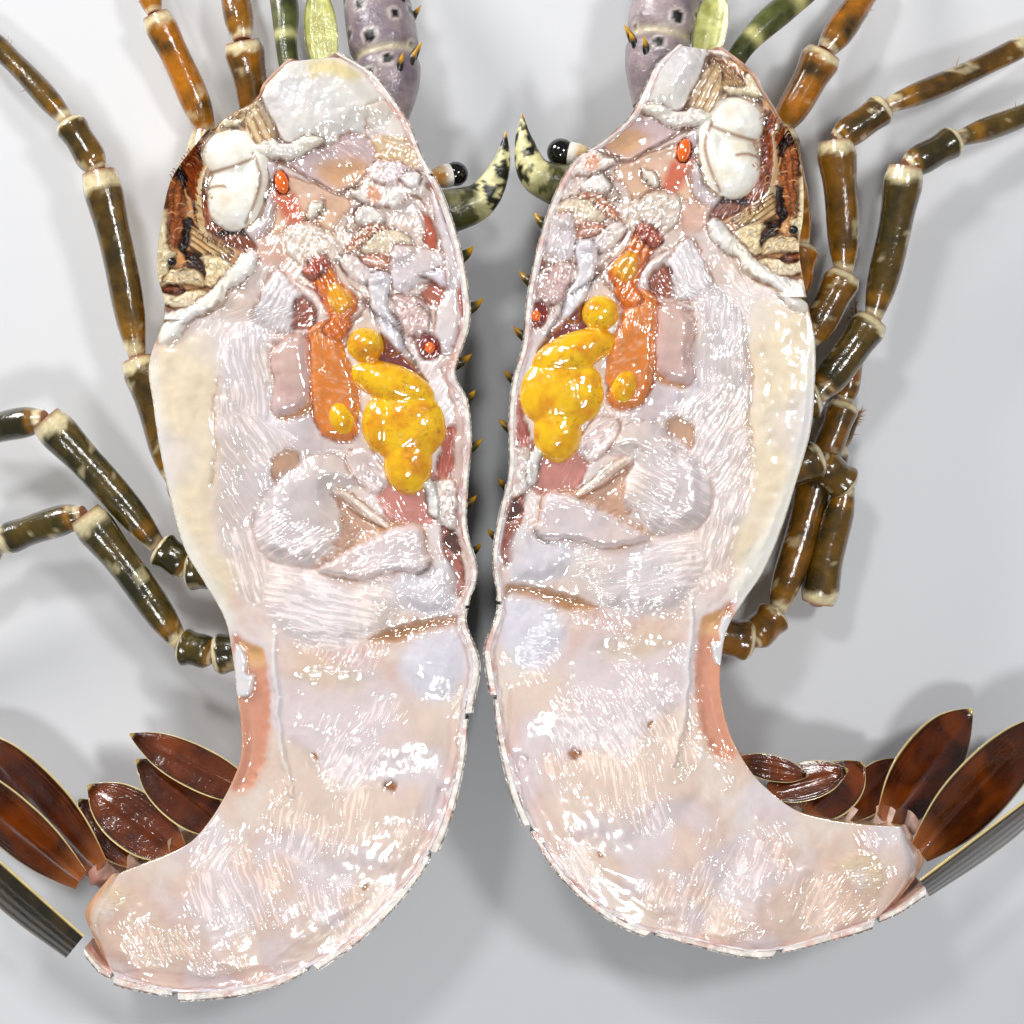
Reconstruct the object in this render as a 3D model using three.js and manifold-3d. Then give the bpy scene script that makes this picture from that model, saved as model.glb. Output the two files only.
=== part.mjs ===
// A spiny lobster split lengthwise, its two halves lying side by side on their shells, cut faces up.
// Millimetres, +Z up. X runs across the pair, Y from the tails to the heads, and the floor is z = 0.
import * as THREE from "three";
import { mergeVertices } from "three/addons/utils/BufferGeometryUtils.js";
import Module from "manifold-3d";

const wasm = await Module();
wasm.setup();

// Driving dimensions
const CUT_HEIGHT = 38; // the cut face over the floor, half of the body's width
const GAP = 0.3; // left between touching pieces
const SHELL = 1.4; // thickness of the carapace and the tail's rings
const SINK = 1.0; // how far the flesh lies below the shell's cut rim
const ROUNDNESS = 0.85; // under 1 makes the sides fuller than an ellipse
const SHELL_END_DEG = 148; // the carapace ends here, counted from the back to the belly
const GROOVE_STATION = 9.3; // the groove that runs across the carapace behind the head
const GROOVE_DEPTH = 0.8;
const CENTRE = new THREE.Vector3(-2.6, -51.2, 0); // moves the pair's middle to the origin

// Stations run from the tip of the head (0) over the carapace's rear edge (15) to the last ring (27).
// Half of the body's width at each station, and the thickness of what lines the belly on the cut face.
const HALF_WIDTHS = [
  5, 13, 20, 26, 30, 33, 35.5, 37.2, 38.2, 38.7, 38.7, 38.7, 38.7, 38.2, 37.5, 36.5,
  36.6, 37.4, 38, 38, 37.4, 36.4, 35, 33, 31, 29, 27, 25.5,
];
const BELLY_LAYER = [
  2, 2, 3, 4, 6, 8, 11, 16, 13, 16, 17, 16, 14, 12, 8, 4, 2, 2, 2, 2, 2, 2, 2,
  2, 2, 2, 2, 2,
];

// Edge of the cut face along the back and along the belly, one point at each station.
const LEFT = {
  name: "left",
  side: -1,
  back: [
    [-44, 115.5], [-35, 110], [-30, 104], [-25.5, 97], [-22, 88.5], [-17.5, 80.5], [-13.5, 69], [-11, 57],
    [-10.5, 47], [-14, 35], [-11, 28], [-10, 18], [-11, 5.5], [-11, -4.5], [-8.5, -14.5], [-10.5, -23],
    [-11.5, -28], [-8.5, -38], [-10.5, -49], [-12.5, -64.5], [-18, -82], [-27, -96], [-42, -109.5],
    [-60.5, -119], [-80.5, -121.5], [-93, -119.5], [-102, -116], [-107.5, -109.5],
  ],
  belly: [
    [-56, 114], [-62.5, 107.5], [-65.5, 103], [-74, 98], [-80.5, 90.5], [-85.5, 83], [-88, 72], [-89, 60.5],
    [-87, 50], [-91, 37.5], [-90, 27], [-88, 14], [-85, 0.5], [-82, -9.5], [-77, -18], [-72, -27],
    [-70, -37], [-69, -46], [-68, -53], [-68, -61], [-70, -67], [-72.5, -72], [-76, -77.5],
    [-80.5, -82.5], [-87, -86], [-93.5, -88.5], [-101, -91.5], [-109, -95],
  ],
  horn: [[-19, 76, 28], [-8.5, 79.5, 28], [-3, 88, 28.5], [-1.5, 97, 29]],
  eye: { root: [-24, 85, 26], ball: [-14.5, 87.5, 22], radius: 3.2 },
  antennaBase: [[-33, 100, 26], [-32, 112, 25], [-34, 126, 23], [-37, 143, 20], [-39, 153, 17]],
  antennaWhip: [
    [-38.8, 152.4, 17.1], [-47, 176, 12], [-64, 199, 7], [-92, 216, 3.5], [-126, 223, 2.2], [-160, 215, 1.8],
    [-188, 193, 1.5], [-204, 163, 1.2], [-209, 130, 1], [-206, 98, 0.8],
  ],
  antennule: [[-56, 108, 27], [-58, 120, 25], [-59, 132, 22], [-64, 150, 14], [-72, 170, 6]],
  telson: { root: [-107, -106, 37.5], tip: [-143, -75, 35], tilt: 0.95 },
  uropodInner: { root: [-109, -93, 31], tip: [-150, -62, 24], across: [0.62, 0.6, 0.5], width: 19 },
  uropodOuter: { root: [-106, -92, 23], tip: [-142, -58, 12], across: [0.62, 0.6, 0.5], width: 21 },
  swimmerets: [
    { root: [-66, -73, 27], tip: [-98, -57, 26], across: [0.3, 0.9, -0.3], width: 11 },
    { root: [-74, -82, 25], tip: [-97, -64, 23], across: [0.5, 0.8, -0.3], width: 13 },
    { root: [-86, -88, 24], tip: [-110, -71, 21], across: [0.5, 0.8, -0.3], width: 15 },
    { root: [-97, -91, 22], tip: [-114, -76, 13], across: [0.5, 0.8, -0.3], width: 11 },
  ],
  legs: [
    [[-78, 47, 21], [-85, 51, 19], [-87.5, 66, 12], [-67, 97, 7], [-71, 124, 14], [-77, 152, 8], [-80, 173, 0.7]],
    [[-80, 30, 21], [-87, 33, 19], [-91, 44, 9], [-81, 101, 8], [-94, 131, 14], [-101, 150, 9], [-106, 168, 0.7]],
    [[-78, 6, 21], [-88, 8, 18], [-98, 40, 17], [-107.5, 88.5, 20], [-115.5, 101.5, 19], [-139, 126, 11], [-154, 143, 0.7]],
    [[-74, -16, 21], [-84, -15, 19], [-92, -9.5, 18], [-120, 24, 25], [-142, 20, 18], [-171, -2, 8], [-182, -21, 0.7]],
    [[-64, -36, 22], [-77, -37, 21], [-86, -35, 19], [-110, -0.5, 25], [-133, -7.5, 18], [-156, -34, 8], [-163, -54, 0.7]],
  ],
};
const RIGHT = {
  name: "right",
  side: 1,
  back: [
    [42, 117.5], [36, 112], [33, 106], [29, 98.5], [22, 92.5], [15, 87.5], [9.5, 77], [6, 65.5],
    [3.5, 53], [2.5, 42], [0, 33], [-1, 23], [-1, 10.5], [-3.5, -1], [-5, -11], [-4, -22],
    [-4, -26], [-6.5, -34.5], [-5, -44.5], [-3, -58], [2, -75], [12, -91], [27, -103],
    [44.5, -108], [62, -111], [79.5, -107], [94.5, -101.5], [104.5, -94.5],
  ],
  belly: [
    [52, 117], [60, 111], [64, 105], [68, 98.5], [71.5, 91], [73, 83], [73, 74], [72, 65.5],
    [73.5, 55.5], [76, 43], [76, 32], [75, 20.5], [71.5, 8], [67.5, -4.5], [63, -15], [58, -22.5],
    [54, -29.5], [52.5, -38], [52.5, -46], [55, -56], [60, -65], [66, -71], [72, -75],
    [79.5, -77], [86.5, -78], [93, -78.5], [99.5, -79], [104.5, -82],
  ],
  horn: [[17, 82, 28], [6.5, 86, 28], [3.2, 94, 28.5], [2.6, 101.5, 29]],
  eye: { root: [25, 90, 27], ball: [12.5, 92.5, 25], radius: 3.6 },
  antennaBase: [[37, 104, 26], [37.5, 116, 25], [40, 131, 23], [45, 147, 20], [48, 157, 17]],
  antennaWhip: [
    [47.8, 156.4, 17.1], [58, 180, 12], [76, 201, 7], [104, 216, 3.5], [138, 220, 2.2], [170, 209, 1.8],
    [196, 186, 1.5], [210, 156, 1.2], [214, 124, 1], [210, 92, 0.8],
  ],
  antennule: [[54, 110, 27], [60, 120, 25], [70, 130, 22], [86, 143, 14], [101, 158, 6]],
  telson: { root: [102, -92, 37.5], tip: [139, -65, 35], tilt: 0.7 },
  uropodInner: { root: [103, -86, 31], tip: [139, -52, 24], across: [-0.66, 0.62, 0.42], width: 20 },
  uropodOuter: { root: [96, -80, 23], tip: [121, -52, 12], across: [-0.66, 0.62, 0.42], width: 21 },
  swimmerets: [
    { root: [58, -64, 27], tip: [76, -68, 25], across: [-0.3, 0.9, -0.3], width: 7 },
    { root: [66, -72, 25], tip: [87, -67, 21], across: [-0.3, 0.9, -0.3], width: 10 },
    { root: [76, -78, 24], tip: [92, -66, 16], across: [-0.5, 0.8, -0.3], width: 13 },
    { root: [86, -79, 22], tip: [103, -66, 9], across: [-0.5, 0.8, -0.3], width: 11 },
  ],
  legs: [
    [[66, 52, 21], [73, 56, 19], [76, 69, 14], [70, 100, 15], [81.5, 120, 18], [97.5, 144, 10], [108.5, 163, 0.7]],
    [[68, 41, 21], [77, 44, 19], [87, 62, 17], [84, 96.5, 20], [97, 105.5, 19], [138, 125, 9], [158, 132, 0.7]],
    [[68, 27, 21], [79, 30, 20], [94, 50, 19], [101.5, 89, 24], [115, 96.5, 21], [151, 112, 9], [170, 113, 0.7]],
    [[66, 9, 21], [80, 14, 18], [88, 7, 15], [81, -24, 11], [82, -14, 3.6], [88, 18, 3.4], [95, 28, 0.7]],
    [[50, -31, 22], [62, -33.5, 20], [69, -27, 16], [82, 12, 8], [89, 29, 6], [92, 46, 4], [93, 57, 0.7]],
  ],
};

// Rings of the tail: first and last station of each, and the shape of a leg from root to tip.
const RINGS = [[15.2, 18.1], [18.2, 20.2], [20.3, 22.4], [22.5, 24.2], [24.3, 25.7], [25.8, 26.9]];
const LEG_RADII = [5, 4.6, 4.2, 4.4, 3.6, 2.5, 0.7];
const FRONT_LEG_RADII = [5, 4.4, 4.2, 4.2, 4.6, 3, 0.7];
const HORN_RADII = [6, 4.6, 2.6, 0.25];
const BASE_RADII = [6, 8.5, 9, 7.5, 5];
const WHIP_RADII = [3.6, 3.4, 3.1, 2.8, 2.2, 1.8, 1.5, 1.2, 1, 0.8];
const SMALL_FEELER_RADII = [2.6, 2.8, 3.6, 2, 0.8];
const FAN_THICKNESS = 2.2;
const SWIMMERET_THICKNESS = 1.2;

// Spines on the root of the long feeler: share of its length, turn in degrees from its inner side, length.
const FEELER_SPINES = [
  [0.3, 5, 5], [0.33, 75, 4.5], [0.5, 150, 5], [0.52, 40, 4], [0.64, 100, 4], [0.7, 10, 5.5], [0.86, 60, 4.5],
];

const COLOURS = {
  shell: 0x4a4a22, flesh: 0xeadcd2, bone: 0xf1e6cf, roe: 0xf0a91c, tooth: 0xf6f0e6,
  mouth: 0x8a5a38, eye: 0x14110e, whip: 0x3d4426, base: 0x7b6f7c, leg: 0x5b5a26, fin: 0x5a2a16,
};

const along = (a, b, share) => a.clone().lerp(b, share);
const point = ([x, y, z]) => new THREE.Vector3(x, y, z ?? CUT_HEIGHT);
const raised = (v) => v.setZ(Math.max(v.z, 0));

// A value or a point between stations, on a smooth curve through all of them.
function smooth(values) {
  const points = values.map((v) => (Array.isArray(v) ? point(v) : new THREE.Vector3(v, 0, 0)));
  const curve = new THREE.CatmullRomCurve3(points, false, "catmullrom", 0.5);
  return (station) => curve.getPoint(THREE.MathUtils.clamp(station / (values.length - 1), 0, 1));
}
const widthAt = smooth(HALF_WIDTHS);
const layerAt = smooth(BELLY_LAYER);
for (const half of [LEFT, RIGHT]) {
  half.backAt = smooth(half.back);
  half.bellyAt = smooth(half.belly);
}

// A point on a half's skin: angle 0 is the back and 180 the belly, both on the cut face.
function skin(half, station, degrees, grow = 0) {
  const back = half.backAt(station);
  const belly = half.bellyAt(station);
  const reach = back.distanceTo(belly) / 2;
  const towardsBack = back.clone().sub(belly).normalize();
  const angle = THREE.MathUtils.degToRad(degrees);
  const drop = (widthAt(station).x + grow) * Math.pow(Math.sin(angle), ROUNDNESS);
  const place = along(back, belly, 0.5).addScaledVector(towardsBack, (reach + grow) * Math.cos(angle));
  return place.setZ(Math.max(CUT_HEIGHT - (drop || 0), -grow, 0));
}

const steps = (from, to, count) => Array.from({ length: count + 1 }, (_, i) => from + ((to - from) * i) / count);
const SHELL_ANGLES = [0, 19, 39, 59, 79, 101, 118, 133, SHELL_END_DEG]; // 79 to 101 is the flat on the floor
const HEAD_STATIONS = [0.1, 0.8, 1.6, 2.4, 3.2, 4.5];
const MOUTH_END = [4.6, 5.6, 6.7, 7.9];
const CHEST_STATIONS = [8.05, 8.85, GROOVE_STATION, 9.75, 11, 12.1, 13.6, 15.05];
const BACK_STATIONS = [...MOUTH_END, ...CHEST_STATIONS];
const RING_STATIONS = RINGS.map(([from, to], i) => steps(from, to, i === 0 ? 3 : 2));

// Manifold solids
function solidOf(geometry) {
  const bare = new THREE.BufferGeometry();
  bare.setAttribute("position", geometry.attributes.position);
  bare.setIndex(geometry.index);
  const merged = mergeVertices(bare, 1e-4);
  const mesh = new wasm.Mesh({
    numProp: 3,
    vertProperties: merged.attributes.position.array,
    triVerts: new Uint32Array(merged.index.array),
  });
  return new wasm.Manifold(mesh);
}

// Joins rings of points into one closed solid. Each end is closed by a strip from side to side.
function loft(rings) {
  const count = rings[0].length;
  const index = [];
  const quad = (a, b, c, d) => index.push(a, b, c, a, c, d);
  for (let start = 0; start < (rings.length - 1) * count; start += count) {
    for (let i = 0; i < count; i++) {
      const next = (i + 1) % count;
      quad(start + i, start + next, start + count + next, start + count + i);
    }
  }
  const end = (rings.length - 1) * count;
  for (let i = 0, j = count - 1; i + 1 < j; i++, j--) {
    if (i + 1 === j - 1) {
      index.push(i, j, i + 1, end + i, end + i + 1, end + j);
    } else {
      quad(i, j, j - 1, i + 1);
      quad(end + i, end + i + 1, end + j - 1, end + j);
    }
  }
  const geometry = new THREE.BufferGeometry().setFromPoints(rings.flat());
  const area = new THREE.Vector3();
  rings[0].forEach((p, i) => area.add(p.clone().cross(rings[0][(i + 1) % count])));
  const middle = (ring) => ring.reduce((sum, p) => sum.add(p), new THREE.Vector3()).divideScalar(count);
  const forward = area.dot(middle(rings[1]).sub(middle(rings[0]))) > 0;
  geometry.setIndex(forward ? index : index.reverse());
  return solidOf(geometry);
}

function ellipsoid(centre, radii, turn = 0, grow = 0, around = 8, up = 4) {
  const ball = new THREE.SphereGeometry(1, around, up);
  ball.rotateX(Math.PI / 2);
  ball.scale(radii[0] + grow, radii[1] + grow, radii[2] + grow);
  ball.rotateZ(turn);
  ball.translate(...centre);
  return solidOf(ball);
}

const joined = (pieces) => pieces.reduce((whole, piece) => whole.add(piece));

// Only the largest closed body is kept, so that a cut leaves no scraps.
function largest(solid) {
  const bodies = solid.decompose();
  return bodies.reduce((best, body) => (body.volume() > best.volume() ? body : best));
}

const cutClear = (solid, others) => largest(others.reduce((left, other) => left.subtract(other), solid));

// A round tube through points, with one radius at each; rings stand square to the path.
function tube(points, radii, sides = 7, grow = 0, flatten = 1) {
  const rings = points.map((p, i) => {
    const before = points[Math.max(i - 1, 0)];
    const after = points[Math.min(i + 1, points.length - 1)];
    const direction = after.clone().sub(before).normalize();
    const level = new THREE.Vector3(-direction.y, direction.x, 0).normalize();
    const upward = direction.clone().cross(level).negate();
    return Array.from({ length: sides }, (_, k) => {
      const angle = (2 * Math.PI * k) / sides;
      const r = radii[i] + grow;
      return raised(
        p.clone().addScaledVector(level, r * Math.cos(angle)).addScaledVector(upward, r * flatten * Math.sin(angle)),
      );
    });
  });
  return loft(rings);
}

// The filled body, for trimming what grows from it, and its inside, for trimming spine roots.
function envelope(half, grow, stations) {
  const angles = [...SHELL_ANGLES, 159, 170, 180];
  return loft(
    stations.map((station) => {
      const arc = angles.map((a) => skin(half, station, a, grow));
      const lids = [arc.at(-1), arc[0]].map((p) => p.clone().setZ(CUT_HEIGHT + 5));
      return [...arc, ...lids];
    }),
  );
}

// A shell plate: an arc of skin with its own thickness, deepened from outside where the groove runs.
function plate(half, stations, angles, grow = 0) {
  const places = grow ? [stations[0] - 0.15 * grow, ...stations, stations.at(-1) + 0.15 * grow] : stations;
  return loft(
    places.map((station) => {
      const groove = station === GROOVE_STATION ? GROOVE_DEPTH : 0;
      const outer = angles.map((a) => skin(half, station, a, grow - (a > 0 ? groove : 0)));
      const inner = angles.map((a) => skin(half, station, a, -SHELL - grow));
      return [...outer, ...inner.reverse()];
    }),
  );
}

// A ring of the tail widens over the next one. Its side plate flares out and is drawn to a point behind.
const FLARE = 1.1;
const SIDE_FLARE = 4.5;
const SIDE_FROM_DEG = 115;
const SIDE_FRONT_DEG = 140;
const SIDE_TIP_DEG = 162;
const DEG_PER_MM = 2; // more than one millimetre of the side plate's edge
function ring(half, stations, grow = 0) {
  const from = stations[0];
  const to = stations.at(-1);
  const places = grow ? [from - 0.15 * grow, ...stations, to + 0.15 * grow] : stations;
  return loft(
    places.map((station) => {
      const share = THREE.MathUtils.clamp((station - from) / (to - from), 0, 1);
      const tip = SIDE_FRONT_DEG + (SIDE_TIP_DEG - SIDE_FRONT_DEG) * share * share + grow * DEG_PER_MM;
      const angles = [...SHELL_ANGLES.slice(0, -1), tip];
      const flare = (angle) => {
        const side = Math.max(angle - SIDE_FROM_DEG, 0) / (SHELL_END_DEG - SIDE_FROM_DEG);
        return FLARE * share + SIDE_FLARE * side * Math.sin(Math.PI * (0.1 + 0.8 * share));
      };
      const outer = angles.map((a) => skin(half, station, a, flare(a) + grow));
      const inner = angles.map((a) => skin(half, station, a, flare(a) - SHELL - grow));
      return [...outer, ...inner.reverse()];
    }),
  );
}

// What lines the belly: mouthparts in front, the breastplate behind.
function bellyLayer(half, stations) {
  const angles = steps(180, SHELL_END_DEG + 3, 3);
  return loft(
    stations.map((station) => {
      const belly = half.bellyAt(station);
      const inward = half.backAt(station).sub(belly).normalize();
      const depth = layerAt(station).x;
      const outer = angles.map((a) => skin(half, station, a, -0.1));
      const lowInner = outer.at(-1).clone().addScaledVector(inward, depth * 0.25 + 1.5);
      const highInner = belly.clone().addScaledVector(inward, depth);
      return [...outer, lowInner, highInner];
    }),
  );
}

// Lumps and hollows of the cut flesh: place, size and height, in the left half's frame.
const MIRROR_X = -14.6; // a place on the right half is this far from the left one's mirror image
const MIRROR_Y = 8;
const FLESH_FORMS = [
  { at: [-46, 100], size: [17, 13], height: 2.2 }, // antenna muscle
  { at: [-29, 67], size: [13, 18], height: -1.2 }, // stomach
  { at: [-53, 38], size: [6, 15], height: 1.2 },
  { at: [-38, -8], size: [20, 12], height: 1.6 }, // first tail muscle
  { at: [-36, -30], size: [26, 12], height: 1.8 },
  { at: [-42, -66], size: [22, 22], height: 2.0 },
  { at: [-75, -104], size: [30, 13], height: 1.4 },
];
function relief(half, p) {
  const x = half === LEFT ? p.x : -p.x + MIRROR_X;
  const y = half === LEFT ? p.y : p.y - MIRROR_Y;
  return FLESH_FORMS.reduce((sum, { at, size, height }) => {
    const far = Math.hypot((x - at[0]) / size[0], (y - at[1]) / size[1]);
    return sum + height * Math.exp(-far * far);
  }, 0);
}

function flesh(half, stations, lined) {
  const angles = lined ? SHELL_ANGLES : [...SHELL_ANGLES, 164, 180];
  return loft(
    stations.map((station) => {
      const under = angles.map((a) =>
        skin(half, station, a, a > SHELL_END_DEG ? -0.5 : -SHELL - GAP - 0.1),
      );
      under[0].setZ(CUT_HEIGHT - SINK);
      const inward = half.backAt(station).sub(half.bellyAt(station)).normalize();
      if (lined) {
        const depth = layerAt(station).x;
        const corner = skin(half, station, SHELL_END_DEG + 3, -0.1);
        corner.z -= 2 * GAP;
        under.push(corner.addScaledVector(inward, depth * 0.25 + 1.5 + 2 * GAP));
        under.push(half.bellyAt(station).addScaledVector(inward, depth + 2 * GAP));
      }
      under.at(-1).setZ(CUT_HEIGHT - SINK);
      const top = steps(0, 1, 6).slice(1, -1).map((share) => {
        const p = along(under.at(-1), under[0], share);
        const swell = Math.sin(Math.PI * share);
        return p.setZ(CUT_HEIGHT - SINK + swell * (0.4 + relief(half, p)));
      });
      return [...under, ...top];
    }),
  );
}

// Lobes of roe and the white jaw, in the left half's frame; grow makes the socket that they sit in.
const ROE = [
  { at: [-36.8, 41.8, 36], size: [4.8, 4.6, 4.5], turn: 0 },
  { at: [-29, 31, 36], size: [12.5, 6, 5], turn: -0.35 },
  { at: [-27.5, 20.5, 35.5], size: [10.5, 12, 5.5], turn: 0.3 },
  { at: [-26.5, 12, 35], size: [6, 7.5, 5], turn: 0 },
  { at: [-42.8, 24, 35.5], size: [4, 5.4, 4.5], turn: 0.2 },
  { at: [-44, 31, 34.5], size: [6, 14.5, 4.5], turn: 0 },
  { at: [-44.5, 51, 34.5], size: [3.6, 11, 4.2], turn: 0.15 },
];
const JAW = [
  { at: [-70, 89.5, 35], size: [8, 6.8, 4.6], turn: 0 },
  { at: [-69.5, 79, 35], size: [7.6, 8.6, 4.4], turn: -0.2 },
  { at: [-64.5, 83, 35], size: [3.6, 12, 4.2], turn: -0.12 },
];
const lobes = (half, list, grow) =>
  joined(
    list.map(({ at: [x, y, z], size, turn }) =>
      half === LEFT
        ? ellipsoid([x, y, z], size, turn, grow)
        : ellipsoid([-x + MIRROR_X, y + MIRROR_Y, z], size, -turn, grow),
    ),
  );

// Forward-pointing spines on the carapace, in rows from the back to the side, smaller to the rear.
function spines(half) {
  const rows = [
    { angle: 10, length: 4.6 }, { angle: 27, length: 4.2 }, { angle: 45, length: 3.6 },
    { angle: 63, length: 3 }, { angle: 120, length: 2 },
  ];
  const made = [];
  rows.forEach(({ angle, length }, row) => {
    for (let station = 6.4 + (row % 2) * 0.6; station < 14.6; station += 1.2) {
      const root = skin(half, station, angle, -0.7);
      const outward = skin(half, station, angle, 2).sub(skin(half, station, angle, 0)).normalize();
      const forward = skin(half, station - 0.5, angle).sub(skin(half, station + 0.5, angle)).normalize();
      const size = length * (1.15 - 0.05 * (station - 6));
      const tip = root.clone().addScaledVector(outward, size * 0.8 + 0.7).addScaledVector(forward, size * 0.75);
      if (tip.z < 0.4 || tip.z > CUT_HEIGHT - 0.5) continue;
      made.push(tube([root, tip], [0.34 * size, 0.05], 4));
    }
  });
  return joined(made);
}

function leg(joints, radii, grow = 0) {
  const places = [];
  const sizes = [];
  const corners = joints.map(point);
  for (let i = 0; i < corners.length - 1; i++) {
    const tapers = (share) => radii[i] + (radii[i + 1] - radii[i]) * share;
    const shape = i === corners.length - 2 ? [[0, 0.7], [0.25, 1]] : [[0, 0.68], [0.14, 1], [0.82, 1.04]];
    for (const [share, swell] of shape) {
      places.push(along(corners[i], corners[i + 1], share));
      sizes.push(tapers(share) * swell);
    }
  }
  places.push(corners.at(-1));
  sizes.push(radii.at(-1));
  return tube(places, sizes, 6, grow);
}

// The thick root of the long feeler, with its spines.
function feelerRoot(half) {
  const path = new THREE.CatmullRomCurve3(half.antennaBase.map(point), false, "catmullrom", 0.5);
  const last = BASE_RADII.length - 1;
  const spikes = FEELER_SPINES.map(([share, turn, length]) => {
    const middle = path.getPoint(share);
    const forward = path.getTangent(share);
    const inner = new THREE.Vector3(forward.y, -forward.x, 0).multiplyScalar(-half.side).normalize();
    const angle = THREE.MathUtils.degToRad(turn);
    const out = inner.multiplyScalar(Math.cos(angle)).add(new THREE.Vector3(0, 0, Math.sin(angle)));
    const start = middle.addScaledVector(out, smooth(BASE_RADII)(share * last).x - 1.2);
    const tip = start.clone().addScaledVector(out, length * 0.75).addScaledVector(forward, length * 0.7);
    return tube([start, tip], [1.3, 0.05], 4);
  });
  return joined([tube(half.antennaBase.map(point), BASE_RADII, 9), ...spikes]);
}

// A thin leaf from root to tip: half-widths follow a leaf's outline, and its faces are slightly domed.
function leaf({ root, tip, across, width }, thickness, grow = 0, roundTip = 0.55) {
  const start = point(root);
  const end = point(tip);
  const direction = end.clone().sub(start).normalize();
  const wide = new THREE.Vector3(...across).normalize();
  wide.addScaledVector(direction, -wide.dot(direction)).normalize();
  const normal = direction.clone().cross(wide).normalize();
  const outline = [[0, 0.42], [0.18, 0.78], [0.42, 1], [0.68, 0.93], [0.88, roundTip], [1, 0.12]];
  return loft(
    outline.map(([share, breadth]) => {
      const half = (width / 2) * breadth + grow;
      const thick = thickness / 2 + grow;
      const middle = along(start, end, share);
      return [[-1, 0.3], [0, 1], [1, 0.3], [1, -0.3], [0, -1], [-1, -0.3]].map(([u, v]) =>
        raised(middle.clone().addScaledVector(wide, u * half).addScaledVector(normal, v * thick)),
      );
    }),
  );
}

// Half of the tail's middle plate, cut along its middle: it hangs down from the cut face.
function telson(half, grow = 0) {
  const { root, tip, tilt } = half.telson;
  const start = point(root);
  const end = point(tip);
  const direction = end.clone().sub(start).normalize();
  const outward = new THREE.Vector3(direction.y * half.side, -direction.x * half.side, 0).normalize();
  const down = new THREE.Vector3(0, 0, -Math.cos(tilt)).addScaledVector(outward, Math.sin(tilt));
  const normal = direction.clone().cross(down).normalize();
  const outline = [[0, 12], [0.3, 14.5], [0.7, 15], [0.92, 12], [1, 7]];
  return loft(
    outline.map(([share, breadth]) => {
      const top = along(start, end, share);
      return [[0, 1], [1, 0.5], [1, -0.5], [0, -1]].map(([u, v]) =>
        raised(
          top.clone()
            .addScaledVector(down, u * (breadth + grow) - (1 - u) * grow)
            .addScaledVector(normal, v * (1 + grow)),
        ),
      );
    }),
  );
}

function material(colour, roughness = 0.5) {
  return new THREE.MeshStandardMaterial({ color: colour, roughness, metalness: 0 });
}

const lobster = new THREE.Group();
function addPiece(half, name, solid, colour, roughness) {
  const mesh = solid.getMesh();
  const geometry = new THREE.BufferGeometry();
  geometry.setAttribute("position", new THREE.BufferAttribute(Float32Array.from(mesh.vertProperties), 3));
  geometry.setIndex(new THREE.BufferAttribute(mesh.triVerts, 1));
  geometry.computeVertexNormals();
  const piece = new THREE.Mesh(geometry, material(colour, roughness));
  piece.name = `${half.name}_${name}`;
  piece.position.copy(CENTRE);
  lobster.add(piece);
}

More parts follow.
